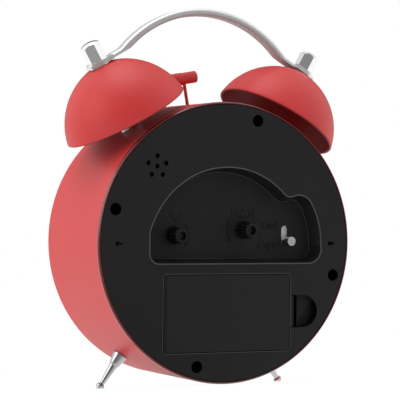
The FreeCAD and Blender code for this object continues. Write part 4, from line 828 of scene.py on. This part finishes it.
# Places on the control recess's edge: across, height and the direction out of the recess in degrees.
RECESS_PLACES = {
    "side_low": (35.4, -4.0, 0),
    "side_high": (35.4, 4.0, 8),
    "notch": (-28.6, 19.3, 110),
    "crest_start": (-31.2, 19.6, 88),
    "crest": (-36.2, 19.6, 118),
    "crest_end": (-39.8, 16.4, 150),
    "bulge": (-43.3, 8.0, 164),
    "bulge_end": (-44.4, -1.0, 178),
    "far_corner": (-43.0, -6.6, 225),
    "floor_start": (-38.6, -8.5, 270),
    "floor_end": (31.0, -8.5, 270),
    "near_corner": (34.1, -7.2, 315),
}
ARCH_CENTRE = (-0.3, -6.5)
ARCH_RADIUS = 37.6
ARCH_TOP = 75
ARCH_END = 134


def recess_line(inset, depth):
    """Places along the control recess's edge, moved inwards by an inset."""
    places = dict(RECESS_PLACES)
    for name, angle in (("arch_top", ARCH_TOP), ("arch_end", ARCH_END)):
        turn = math.radians(angle)
        places[name] = (ARCH_CENTRE[0] + ARCH_RADIUS * math.cos(turn),
                        ARCH_CENTRE[1] + ARCH_RADIUS * math.sin(turn), angle)
    flat = {}
    for name, (x, z, normal) in places.items():
        turn = math.radians(normal)
        flat[name] = (x - inset * math.cos(turn), z - inset * math.sin(turn))
    line = [flat["side_low"]]
    arcs = (("side_high", "arch_top", "arch_end", 40), ("arch_end", "notch", "crest_start", 10),
            ("crest_start", "crest", "crest_end", 10), ("crest_end", "bulge", "bulge_end", 14),
            ("bulge_end", "far_corner", "floor_start", 12), ("floor_end", "near_corner", "side_low", 10))
    for a, b, c, count in arcs:
        points = arc(flat[a], flat[b], flat[c], count)
        line += [p for p in points if math.dist(p, line[-1]) > 0.01 and math.dist(p, line[0]) > 0.01]
    return [at(x, depth, z) for x, z in line]


PIP_RING = 49.3


def make_cover():
    rounded("cover_moulding", "rear_cover", "cover_black", "case", 0.18, 2, 40.0)

    # The lips are beads lighter than the cover: a painted highlight along the recess's edge and foot.
    lip = looks().lip_radius
    obj = bead("recess_lip", recess_line(-0.05, 0.06), lip, "lip_black")
    ready(obj, "case", degrees=60)
    foot_inset = RECESS_DRAFT - 0.15
    obj = bead("recess_foot", recess_line(foot_inset, RECESS_DEPTH - 0.02), lip * 0.8, "lip_black")
    ready(obj, "case", degrees=60)

    # Small recessed dots, shown as near-black discs just proud of the face: painted shade.
    pips = []
    for side, shift, radius in ((1, 0.3, 0.95), (1, -1.3, 0.55), (-1, -0.5, 0.95), (-1, 1.0, 0.7)):
        matrix = along(at(side * PIP_RING + side * shift, 0.02, -0.2), REAR)
        profile = [(0, 0), (radius, 0), (radius - 0.05, 0.08), (0, 0.08)]
        pips.append(turned("pip", profile, matrix, "deep_black", 24))
    ready(join("moulding_pips", pips), "case")


def arrow_arc(name, x, z, radius, first, last, point):
    """Turning mark: an arc with a small arrow head, on the floor of the control recess."""
    depth = RECESS_DEPTH - 0.02
    angles = [math.radians(first + (last - first) * i / 14) for i in range(15)]
    places = [at(x + radius * math.cos(t), depth, z + radius * math.sin(t)) for t in angles]
    parts = [bead(name + "_arc", places, 0.26 * MM, "mark_black", closed=False)]
    tip = Vector((x + radius * math.cos(angles[-1]), z + radius * math.sin(angles[-1])))
    turn = math.copysign(1.0, last - first)
    way = Vector((-math.sin(angles[-1]), math.cos(angles[-1]))) * turn
    side = Vector((-way.y, way.x))
    barbs = [tip - way * point + side * point * 0.7, tip + way * 0.3, tip - way * point - side * point * 0.7]
    places = [at(p.x, depth, p.y) for p in barbs]
    parts.append(bead(name + "_head", places, 0.26 * MM, "mark_black", closed=False))
    return parts


def make_marks():
    """Raised signs beside the controls."""
    floor = RECESS_DEPTH - 0.01
    parts = [
        lettering("mark_on", "ON", 3.9, on_rear(-23.5, floor, 6.9), "mark_black", 0.35, 1.25),
        lettering("mark_off", "OFF", 3.9, on_rear(-22.7, floor, -1.6), "mark_black", 0.35, 1.45),
    ]
    # Hour and minute hand over the time knob.
    for tip in ((18.2, 11.8), (22.6, 11.6)):
        places = [at(20.4, floor, 8.9), at(tip[0], floor, tip[1])]
        parts.append(bead("mark_hand", places, 0.28 * MM, "mark_black", closed=False))
    # Bell between sound waves over the alarm knob.
    bell = [(-2.0, -1.4), (-1.4, -0.8), (-1.2, 0.6), (0, 1.7), (1.2, 0.6), (1.4, -0.8), (2.0, -1.4)]
    middle = (-10.8, 12.0)
    places = [at(middle[0] + x, floor, middle[1] + z) for x, z in bell]
    parts.append(bead("mark_bell", places, 0.28 * MM, "mark_black"))
    for side in (-1, 1):
        for step, half in ((3.0, 1.1), (4.1, 1.5), (5.2, 1.9)):
            x = middle[0] + side * step
            places = [at(x, floor, middle[1] - half), at(x, floor, middle[1] + half)]
            parts.append(bead("mark_wave", places, 0.26 * MM, "mark_black", closed=False))
    parts += arrow_arc("mark_time", 21.4, 2.9, 7.0, 142, 218, 1.2)
    parts += arrow_arc("mark_alarm", -10.8, 5.2, 7.6, 38, -38, 1.2)
    ready(join("control_marks", parts), "case")


# Battery door and cells

DOOR_OPENING = (-29.9, 29.1, -44.95, -12.75)
BAY_FLOOR = 17.62


def door_line(out):
    """Places around the door's opening, with rounded corners, at a distance outside it."""
    left, right, low, high = DOOR_OPENING
    corner = 1.4
    line = []
    for x, z, first in ((right, high, 0), (left, high, 90), (left, low, 180), (right, low, 270)):
        centre_x = x - math.copysign(corner, x)
        centre_z = z - corner if z == high else z + corner
        for step in range(7):
            turn = math.radians(first + 15 * step)
            reach = corner + out
            line.append(at(centre_x + reach * math.cos(turn), 0.0, centre_z + reach * math.sin(turn)))
    return line


def make_door():
    rounded("door_moulding", "battery_door", "door_black", "door", 0.3, 3, 40.0)
    # A lighter bead round the door's opening: a painted highlight.
    obj = bead("door_lip", door_line(0.1), 0.12 * MM, "lip_black")
    ready(obj, "case", degrees=60)

    signs = []
    for text, x, z in (("+", 24.0, -20.0), ("-", -24.0, -20.0), ("-", 24.0, -37.5), ("+", -24.0, -37.5)):
        signs.append(lettering("bay_sign", text, 7.0, on_rear(x, BAY_FLOOR, z), "mark_black", 0.25))
    ready(join("bay_signs", signs), "case")


CELL_RADIUS = 7.1
CELL_DEPTH = 9.3
CELL_HEIGHTS = {"upper": -21.45, "lower": -36.25}


def make_cells():
    """Each cell has a crimped sleeve over its can, a raised nub and a flat end."""
    radius = CELL_RADIUS
    for name, end in (("upper", 1), ("lower", -1)):
        low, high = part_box("battery_" + name)
        start = at(0, CELL_DEPTH, CELL_HEIGHTS[name])
        start.x = low.x if end > 0 else high.x
        length = (high.x - low.x) / MM
        can = length - 1.0
        profile = [(0, 0), (4.6, 0), (4.8, 0.15), (radius - 0.7, 0.15), (radius - 0.2, 0.3), (radius, 0.8),
                   (radius, can - 0.8), (radius - 0.2, can - 0.2), (radius - 0.8, can),
                   (radius - 2.0, can - 0.25), (2.9, can - 0.25), (2.7, can), (2.7, length - 0.25),
                   (2.45, length), (0, length)]
        matrix = along(start, RIGHT * end)
        obj = turned("cell_" + name, profile, matrix, name + "_sleeve", 64)
        ready(obj, "case", ["battery_" + name])
    dress("spring_nickel", "contact_link", "contact_pair", "contact_springs")


# Knobs and switch

KNOB_BASE = 3.8
KNOB_TIP = 3.1
KNOB_LENGTH = 7.6
KNOB_FOOT = 6.55
KNOB_RIBS = 14
RIB_DEPTH = 0.7
KNOB_PLACES = {"time": (21.4, 2.9), "alarm": (-10.81, 5.20)}


def ribbed_knob(name, matrix):
    """Tapered knob with rounded ribs from foot to tip and a hollow end."""
    end = KNOB_LENGTH
    outside = [(0.0, 0.9, 1.0), (0.15, 1.0, 1.0), (end - 0.4, 1.0, 1.0), (end - 0.1, 0.97, 1.0),
               (end, 0.93, 0.9)]
    hollow = [(1.9, end), (1.8, end - 0.15), (1.75, end - 2.1), (0.0, end - 2.1)]
    steps = KNOB_RIBS * 12
    work = bmesh.new()
    rings = []
    for i in range(steps):
        angle = 2 * math.pi * i / steps
        rib = abs(math.sin(KNOB_RIBS * angle / 2)) ** 0.6
        line = []
        for height, wide, depth in outside:
            radius = (KNOB_BASE + (KNOB_TIP - KNOB_BASE) * height / end) * wide
            line.append((radius - RIB_DEPTH * depth * (1 - rib), height))
        places = [(0.0, 0.0), (3.0, 0.0)] + line + hollow
        rings.append([work.verts.new(matrix @ (Vector((r * math.cos(angle), r * math.sin(angle), h)) * MM))
                      for r, h in places])
    for i in range(steps):
        a, b = rings[i], rings[(i + 1) % steps]
        for j in range(len(a) - 1):
            face = work.faces.new((a[j], b[j], b[j + 1], a[j + 1]))
            # The hollow end's faces take the near black: painted shade.
            face.material_index = int(j > len(outside) + 1)
    bmesh.ops.remove_doubles(work, verts=work.verts, dist=0.0005 * MM)
    bmesh.ops.dissolve_degenerate(work, dist=0.0002 * MM, edges=work.edges)
    bmesh.ops.recalc_face_normals(work, faces=work.faces)
    obj = from_bmesh(name, work, "knob_black")
    obj.data.materials.append(finish("deep_black"))
    return obj


def make_knobs():
    for name, (x, z) in KNOB_PLACES.items():
        obj = ribbed_knob(name + "_knob_moulding", on_rear(x, KNOB_FOOT, z))
        ready(obj, name + "_setter", [name + "_knob"], 38)
    # The shafts, seen in the knobs' hollows, take the same near black: painted shade.
    dress("deep_black", "time_shaft", "alarm_shaft")

    rounded("switch_pin_turned", "switch_pin", "pin_bright", "alarm_switch", 0.55, 4, 50.0)
    dress("pin_white", "switch_slider")
    dress("carrier_black", "switch_body")


# Bells, posts, nuts and handle

def bell_axis(side):
    """Start at the drum's middle height and outward direction of a bell's axis, in the row frame."""
    tilt = math.radians(BELL_TILT)
    way = RIGHT * (side * math.sin(tilt)) + UP * math.cos(tilt)
    return at(side * BELL_ROOT, BELL_DEPTH, 0), way


def bell_profile():
    """Outer and inner curve with a rounded mouth."""
    mouth, height, sheet = looks().bell_radius / MM, looks().bell_height / MM, BELL_SHEET
    crown, bore = 5.0, 2.05
    outer = arc((mouth, 0.45), (0.824 * mouth, 0.506 * height), (crown, height), 28)
    inner = arc((crown, height - sheet), (0.824 * mouth - sheet * 0.75, 0.506 * height - sheet * 0.6),
                (mouth - sheet, 0.45), 28)
    rim = arc((mouth - sheet, 0.45), (mouth - sheet / 2, 0.0), (mouth, 0.45), 7)
    return outer + [(bore, height), (bore, height - sheet)] + inner + rim[1:-1]


CAP_ACROSS = 7.6
CAP_DOME = 4.5
CAP_CROWN = 2.4
CAP_HEIGHT = 8.6
CAP_FOOT = 2.3


def nut_width(turn, height):
    """Radius of a cap nut at an angle in degrees and a height: a hexagon within a dome."""
    flat = CAP_ACROSS / 2 / math.cos(math.radians(turn % 60 - 30))
    rise = max(0.0, height - (CAP_HEIGHT - CAP_CROWN)) / CAP_CROWN
    return min(flat, CAP_DOME * math.sqrt(max(0.0, 1 - rise ** 2)), 3.9 + height * 1.6)


def cap_nut(matrix):
    """Hexagonal cap nut with a chamfered foot and a domed top."""
    heights = [0, 0.15, 0.3, 0.5, 6.2, 6.5, 6.8, 7.0, 7.2, 7.4, 7.5, 7.6, 7.8, 8.0, 8.2, 8.35, 8.48, 8.56]
    steps = 72
    work = bmesh.new()
    rings = []
    for height in heights:
        ring = []
        for i in range(steps):
            turn = 360 / steps * i
            radius = nut_width(turn, height)
            angle = math.radians(turn)
            place = Vector((radius * math.cos(angle), radius * math.sin(angle), height)) * MM
            ring.append(work.verts.new(matrix @ place))
        rings.append(ring)
    for low, high in zip(rings, rings[1:]):
        for i in range(steps):
            j = (i + 1) % steps
            work.faces.new((low[i], low[j], high[j], high[i]))
    work.faces.new(list(reversed(rings[0])))
    pole = work.verts.new(matrix @ Vector((0, 0, CAP_HEIGHT * MM)))
    for i in range(steps):
        work.faces.new((rings[-1][i], rings[-1][(i + 1) % steps], pole))
    bmesh.ops.recalc_face_normals(work, faces=work.faces)
    return from_bmesh("cap_nut", work, "bright_plate")


def line_bell(mesh, start, way):
    """The inside of a bell has only a thin dark coat."""
    mesh.materials.append(finish("bell_lining"))
    for face in mesh.polygons:
        out = face.center - start
        out -= way * out.dot(way)
        if face.normal.dot(out) < 0 or face.normal.dot(way) < -0.2:
            face.material_index = 1


def make_bells():
    nuts = []
    for name, side in SIDES:
        start, way = bell_axis(side)
        matrix = along(start + way * BELL_MOUTH * MM, way)
        obj = turned("bell_shell_" + name, bell_profile(), matrix, "red_coat", 128)
        line_bell(obj.data, start, way)
        ready(obj, "case", ["bell_" + name], 40)
        stud = along(start + way * THREAD_START * MM, way)
        obj = thread("post_thread_" + name, stud, 1.96, 0.5, 11.0, "plain_steel")
        ready(obj, "case", degrees=60)
        crown = BELL_MOUTH * MM + looks().bell_height
        seat = start + way * (crown + CAP_FOOT * MM)
        nuts.append(cap_nut(frame_matrix(seat, REAR, way.cross(REAR), way)))
    ready(join("cap_nuts_turned", nuts), "case", ["cap_nuts"], 33)

    for name, node, width in (("washers_pressed", "bell_washers", 0.12), ("posts_turned", "bell_posts", 0.15),
                              ("saddles_turned", "post_saddles", 0.25)):
        rounded(name, node, "bright_plate", "case", width, 3)
    dress("plain_steel", "inner_nuts")


HANDLE_DEPTH = 24.6
HANDLE_MIDDLE = 70.0


def make_handle():
    """Bright strip; the face towards the bells is dull."""
    obj = rounded("handle_strip", "handle", "satin_plate", "case", 0.3, 3)
    obj.data.materials.append(finish("strip_shade"))
    middle = at(0, HANDLE_DEPTH, HANDLE_MIDDLE)
    for face in obj.data.polygons:
        out = (face.center - middle).normalized()
        face.material_index = int(face.normal.dot(out) < -0.25)


# Feet and hammer

def make_feet():
    for name, side in SIDES:
        rounded("foot_turned_" + name, "foot_" + name, "foot_plate", "case", 0.15)


def make_hammer():
    rounded("hammer_lever", "hammer_arm", "red_coat", "hammer", 0.08)
    rounded("hammer_peen", "hammer_head", "red_coat", "hammer", 0.35, 3)


# Dial, hands and glass

NUMERAL_RING = 38.0
MARK_RING = 46.6
MARK_LENGTH = 3.2
MARK_WIDTH = 0.9
GLASS_RADIUS = 54.5
GLASS_SHEET = 1.8
GLASS_EDGE = 0.5
INLAY_SHEET = 0.08
HOUR_HAND_FACE = 46.0
MINUTE_HAND_FACE = 47.2


def make_dial():
    rounded("dial_sheet", "dial", "dial_cream", "case", 0.0)

    printing = DIAL_DEPTH - 0.01
    numerals = []
    for hour in range(1, 13):
        turn = math.radians(90 - 30 * hour)
        x, z = NUMERAL_RING * math.cos(turn), NUMERAL_RING * math.sin(turn)
        numerals.append(lettering("numeral", str(hour), looks().numeral_size / MM,
                                  on_front(x, printing, z), "ink_black", 0.06))
    ready(join("dial_numerals", numerals), "case")

    obj = piece("minute_marks", bpy.data.meshes.new("minute_marks"))
    obj.matrix_world = on_front(0, printing + 0.02, 0)
    obj = grow(obj, tree_named("marks_around_dial", marks_tree), {
        "Count": looks().minute_marks, "Radius": MARK_RING * MM, "Length": MARK_LENGTH * MM,
        "Width": MARK_WIDTH * MM, "Height": 0.06 * MM, "Material": finish("ink_black")})
    ready(obj, "case")

    rounded("front_ring", "dial_ring", "carrier_black", "case", 0.3, 2, 30.0)

    outer, thick, edge = GLASS_RADIUS, GLASS_SHEET, GLASS_EDGE
    profile = [(0, 0), (outer - edge, 0), (outer, edge), (outer, thick - edge), (outer - edge, thick),
               (0, thick)]
    back = DRUM_DEPTH - DRUM_SHEET - thick
    obj = turned("glass_disc", profile, along(at(0, back, 0), -REAR), "clear_glass", 128)
    ready(obj, "case", ["front_lens"])


def make_hands():
    for name, body, material, slot in (("hour_hand", "hours", "hand_black", "hand_paint"),
                                       ("minute_hand", "minutes", "hand_black", "hand_paint"),
                                       ("second_hand", "seconds", "hand_red", "alarm_paint"),
                                       ("alarm_hand", "alarm_index", "hand_red", "alarm_paint")):
        rounded(name + "_pressed", name, material, body, 0.08, 2, 30.0)
    for name, body, depth, first, last, half, angle in (
            ("hour_inlay", "hours", HOUR_HAND_FACE, 8.0, 21.0, 1.0, 305.0),
            ("minute_inlay", "minutes", MINUTE_HAND_FACE, 10.0, 34.0, 0.8, 60.0)):
        outline = [(-half, first), (half, first), (half, last), (-half, last)]
        turn = Matrix.Rotation(math.radians(-angle), 4, "Z")
        work = bmesh.new()
        corners = [work.verts.new((x * MM, z * MM, 0)) for x, z in outline]
        face = work.faces.new(corners)
        lifted = bmesh.ops.extrude_face_region(work, geom=[face])
        tops = [v for v in lifted["geom"] if isinstance(v, bmesh.types.BMVert)]
        bmesh.ops.translate(work, verts=tops, vec=(0, 0, INLAY_SHEET * MM))
        bmesh.ops.recalc_face_normals(work, faces=work.faces)
        work.transform(on_front(0, depth - 0.01, 0) @ turn)
        ready(from_bmesh(name, work, "hand_glow"), body)


# Works, carrier and electric parts keep their own shapes.

def make_works():
    dress("carrier_black", "chassis")
    dress("works_grey", "movement_case", "movement_lid", "train_plate")
    dress("gear_cream", "alarm_wheel", "hour_wheel", "minute_pinion", "minute_wheel", "third_wheel",
          "centre_wheel", "second_wheel", "motor_wheel")
    dress("magnet_grey", "motor_rotor")
    dress("plain_steel", "motor_stator", "pivot_pin", "striker_bracket")
    dress("spring_nickel", "return_spring")
    dress("copper_wire", "motor_coil", "striker_coil")
    dress("bobbin_white", "striker_bobbin")
    dress("screw_steel", "small_screws")
    dress("screw_black", "cover_screws")
    dress("board_green", "circuit_board")
    dress("knob_black", "sounder")
    dress("lead_red", "leads")


# Stage

CAMERA_PLACE = (343.56, -648.4, 17.93)
CAMERA_AZIMUTH = 152.99
CAMERA_ELEVATION = 0.03
CAMERA_ROLL = 0.69
CAMERA_LENS = 160.74


def make_camera():
    """The photograph's camera, fitted in the clock frame."""
    azimuth, elevation, roll = (math.radians(a) for a in (CAMERA_AZIMUTH, CAMERA_ELEVATION, CAMERA_ROLL))
    back = Vector((math.sin(azimuth) * math.cos(elevation), -math.cos(azimuth) * math.cos(elevation),
                   math.sin(elevation)))
    right = (-back).cross(Vector((0, 0, 1))).normalized()
    up = right.cross(-back)
    level = Matrix((right, up, back)).transposed()
    turned_level = level @ Matrix.Rotation(roll, 3, "Z")
    camera = bpy.data.objects.new("camera", bpy.data.cameras.new("camera"))
    camera.data.lens = CAMERA_LENS
    camera.data.sensor_width = 36.0
    camera.data.clip_start = 0.01
    camera.data.clip_end = 50.0
    camera.matrix_world = CLOCK @ (turned_level.to_4x4())
    camera.location = at(*CAMERA_PLACE)
    bpy.context.scene.collection.objects.link(camera)
    bpy.context.scene.camera = camera


def lamp(name, place, size, watts, target=(0, 0, 0.08), spread=160.0):
    """Square soft lamp that looks at the clock."""
    light = bpy.data.lights.new(name, "AREA")
    light.size = size
    light.energy = watts
    light.spread = math.radians(spread)
    obj = bpy.data.objects.new(name, light)
    obj.location = place
    obj.rotation_euler = (Vector(place) - Vector(target)).to_track_quat("Z", "Y").to_euler()
    bpy.context.scene.collection.objects.link(obj)


def seen_directly(made):
    """1 for rays that the camera, a mirror or glass sends, else 0."""
    kinds = [made.node("ShaderNodeLightPath", output=ray)
             for ray in ("Is Camera Ray", "Is Glossy Ray", "Is Transmission Ray")]
    return kinds[0].math("MAXIMUM", kinds[0], kinds[0].math("MAXIMUM", kinds[1], kinds[2]))


# Distances towards the camera, in metres, between which the mirrored floor turns from pale to dark.
FLOOR_PALE = -0.01
FLOOR_DARK = 0.06


def make_floor():
    """Pale table, white to the camera; what mirrors its near part sees it dark, as the room is."""
    work = bmesh.new()
    bmesh.ops.create_grid(work, x_segments=1, y_segments=1, size=6.0)
    floor = from_bmesh("floor", work)
    made = Finish("floor_white", Roughness=0.9, Specular_IOR_Level=0.1)
    made.put(Base_Color=made.blend(made.noise(6.0), (0.84, 0.84, 0.84), (0.87, 0.87, 0.87)))
    way = bpy.context.scene.camera.location.copy()
    way.z = 0
    near = made.node("ShaderNodeMapRange", {"interpolation_type": "SMOOTHSTEP"}, {
        "Value": made.distance(Vector(), way.normalized()), "From Min": FLOOR_PALE, "From Max": FLOOR_DARK})
    mirrored = made.node("ShaderNodeLightPath", output="Is Glossy Ray")
    glow = made.node("ShaderNodeEmission", inputs={
        "Color": made.blend(mirrored * near, (1.04, 1.04, 1.04), (0.25, 0.25, 0.25))})
    mixed = made.node("ShaderNodeMixShader", inputs={
        0: seen_directly(made) * 0.9, 1: Wire(made.tree, made.shader.outputs[0]), 2: glow})
    made.tree.links.new(mixed.socket, made.tree.nodes["Material Output"].inputs[0])
    floor.data.materials.append(made.material)


# Strengths of the tent's white and dark parts, and how far below the camera the dark one is centred.
TENT_LIGHT = 0.95
TENT_DARK = 0.04
TENT_DARK_MIRRORED = 0.2
TENT_DROP = 0.42


def soft_step(tree, value, low, high):
    """0 below the low value, 1 above the high one and smooth between them."""
    step = tree.nodes.new("ShaderNodeMapRange")
    step.interpolation_type = "SMOOTHSTEP"
    step.inputs["From Min"].default_value = low
    step.inputs["From Max"].default_value = high
    tree.links.new(value.socket, step.inputs["Value"])
    return Wire(tree, step.outputs[0])


def make_world():
    """Light tent: white all round but for the dark opening in which the camera stands.

    Mirrors also find a narrower dark part opposite it.
    """
    world = bpy.data.worlds.new("light_tent")
    world.use_nodes = True
    bpy.context.scene.world = world
    tree = world.node_tree
    background = tree.nodes["Background"]
    background.inputs["Color"].default_value = (1, 1, 1, 1)
    paths = tree.nodes.new("ShaderNodeLightPath")
    mirrored = Wire(tree, paths.outputs["Is Glossy Ray"])
    way = tree.nodes.new("ShaderNodeTexCoord")
    towards = tree.nodes.new("ShaderNodeVectorMath")
    towards.operation = "DOT_PRODUCT"
    tree.links.new(way.outputs["Generated"], towards.inputs[0])
    low = bpy.context.scene.camera.location.normalized() - Vector((0, 0, TENT_DROP))
    towards.inputs[1].default_value = low.normalized()
    facing = Wire(tree, towards.outputs["Value"])
    share = soft_step(tree, facing, -0.05, 0.75)
    share = share + soft_step(tree, 0 - facing, 0.7, 0.97) * mirrored
    light = TENT_LIGHT + mirrored * (1.0 - TENT_LIGHT)
    dark = TENT_DARK + mirrored * (TENT_DARK_MIRRORED - TENT_DARK)
    tent = light - share * (light - dark)
    direct = Wire(tree, paths.outputs["Is Camera Ray"])
    strength = tent + direct * (1.0 - tent)
    tree.links.new(strength.socket, background.inputs["Strength"])


def make_stage():
    scene = bpy.context.scene
    scene.view_settings.view_transform = "Standard"
    make_camera()
    make_floor()
    make_world()
    lamp("top_lamp", (0.2, 0.1, 1.3), 0.8, 3.5)
    lamp("side_lamp", (1.3, 0.1, 0.6), 0.9, 3.0)


# Operators

def operator(identifier, label, text, makers):
    """Operator class that runs some makers; an error in one stops the script."""

    def execute(self, context):
        for maker in makers:
            maker()
        return {"FINISHED"}

    name = "CLOCK_OT_" + identifier
    return type(name, (bpy.types.Operator,), {
        "bl_idname": "clock." + identifier, "bl_label": label, "__doc__": text,
        "bl_options": {"REGISTER", "UNDO"}, "execute": execute})


OPERATORS = [
    operator("stage", "Stage", "Add the camera, the floor, the world and the lamps", [make_stage]),
    operator("drum", "Drum", "Add the drum with its rolled lip and glossy rear edge", [make_drum]),
    operator("cover", "Rear cover", "Add the rear cover, its lips and its raised marks",
             [make_cover, make_marks]),
    operator("battery", "Battery door", "Add the battery door, the bay's signs and the cells",
             [make_door, make_cells]),
    operator("controls", "Controls", "Add the setting knobs and the alarm switch", [make_knobs]),
    operator("bells", "Bells", "Add the bells with their posts, washers and cap nuts", [make_bells]),
    operator("handle", "Handle", "Add the carrying handle", [make_handle]),
    operator("feet", "Feet", "Add the turned feet", [make_feet]),
    operator("hammer", "Hammer", "Add the hammer's lever, rod and head", [make_hammer]),
    operator("dial", "Dial", "Add the dial, its printing, the hands and the glass", [make_dial, make_hands]),
    operator("works", "Works", "Give the carrier, the works and the electric parts materials", [make_works]),
]


class CLOCK_PT_looks(bpy.types.Panel):
    """Sizes, colours and pieces of the clock."""

    bl_label = "Twin-bell clock"
    bl_idname = "CLOCK_PT_looks"
    bl_space_type = "VIEW_3D"
    bl_region_type = "UI"
    bl_category = "Clock"

    def draw(self, context):
        layout = self.layout
        for name in ("paint", "cover", "dial", "bell_radius", "bell_height", "lip_radius",
                     "numeral_size", "minute_marks"):
            layout.prop(context.scene.clock_looks, name)
        for made in OPERATORS:
            layout.operator(made.bl_idname)


CLASSES = [ClockLooks, *OPERATORS, CLOCK_PT_looks]


def register():
    for made in CLASSES:
        bpy.utils.register_class(made)
    bpy.types.Scene.clock_looks = bpy.props.PointerProperty(type=ClockLooks)


def unregister():
    del bpy.types.Scene.clock_looks
    for made in reversed(CLASSES):
        bpy.utils.unregister_class(made)


def corners(box):
    return [[float(v) for v in corner] for corner in box]


def main():
    register()
    for made in OPERATORS:
        getattr(bpy.ops.clock, made.bl_idname.split(".")[1])()


if __name__ == "__main__":
    main()
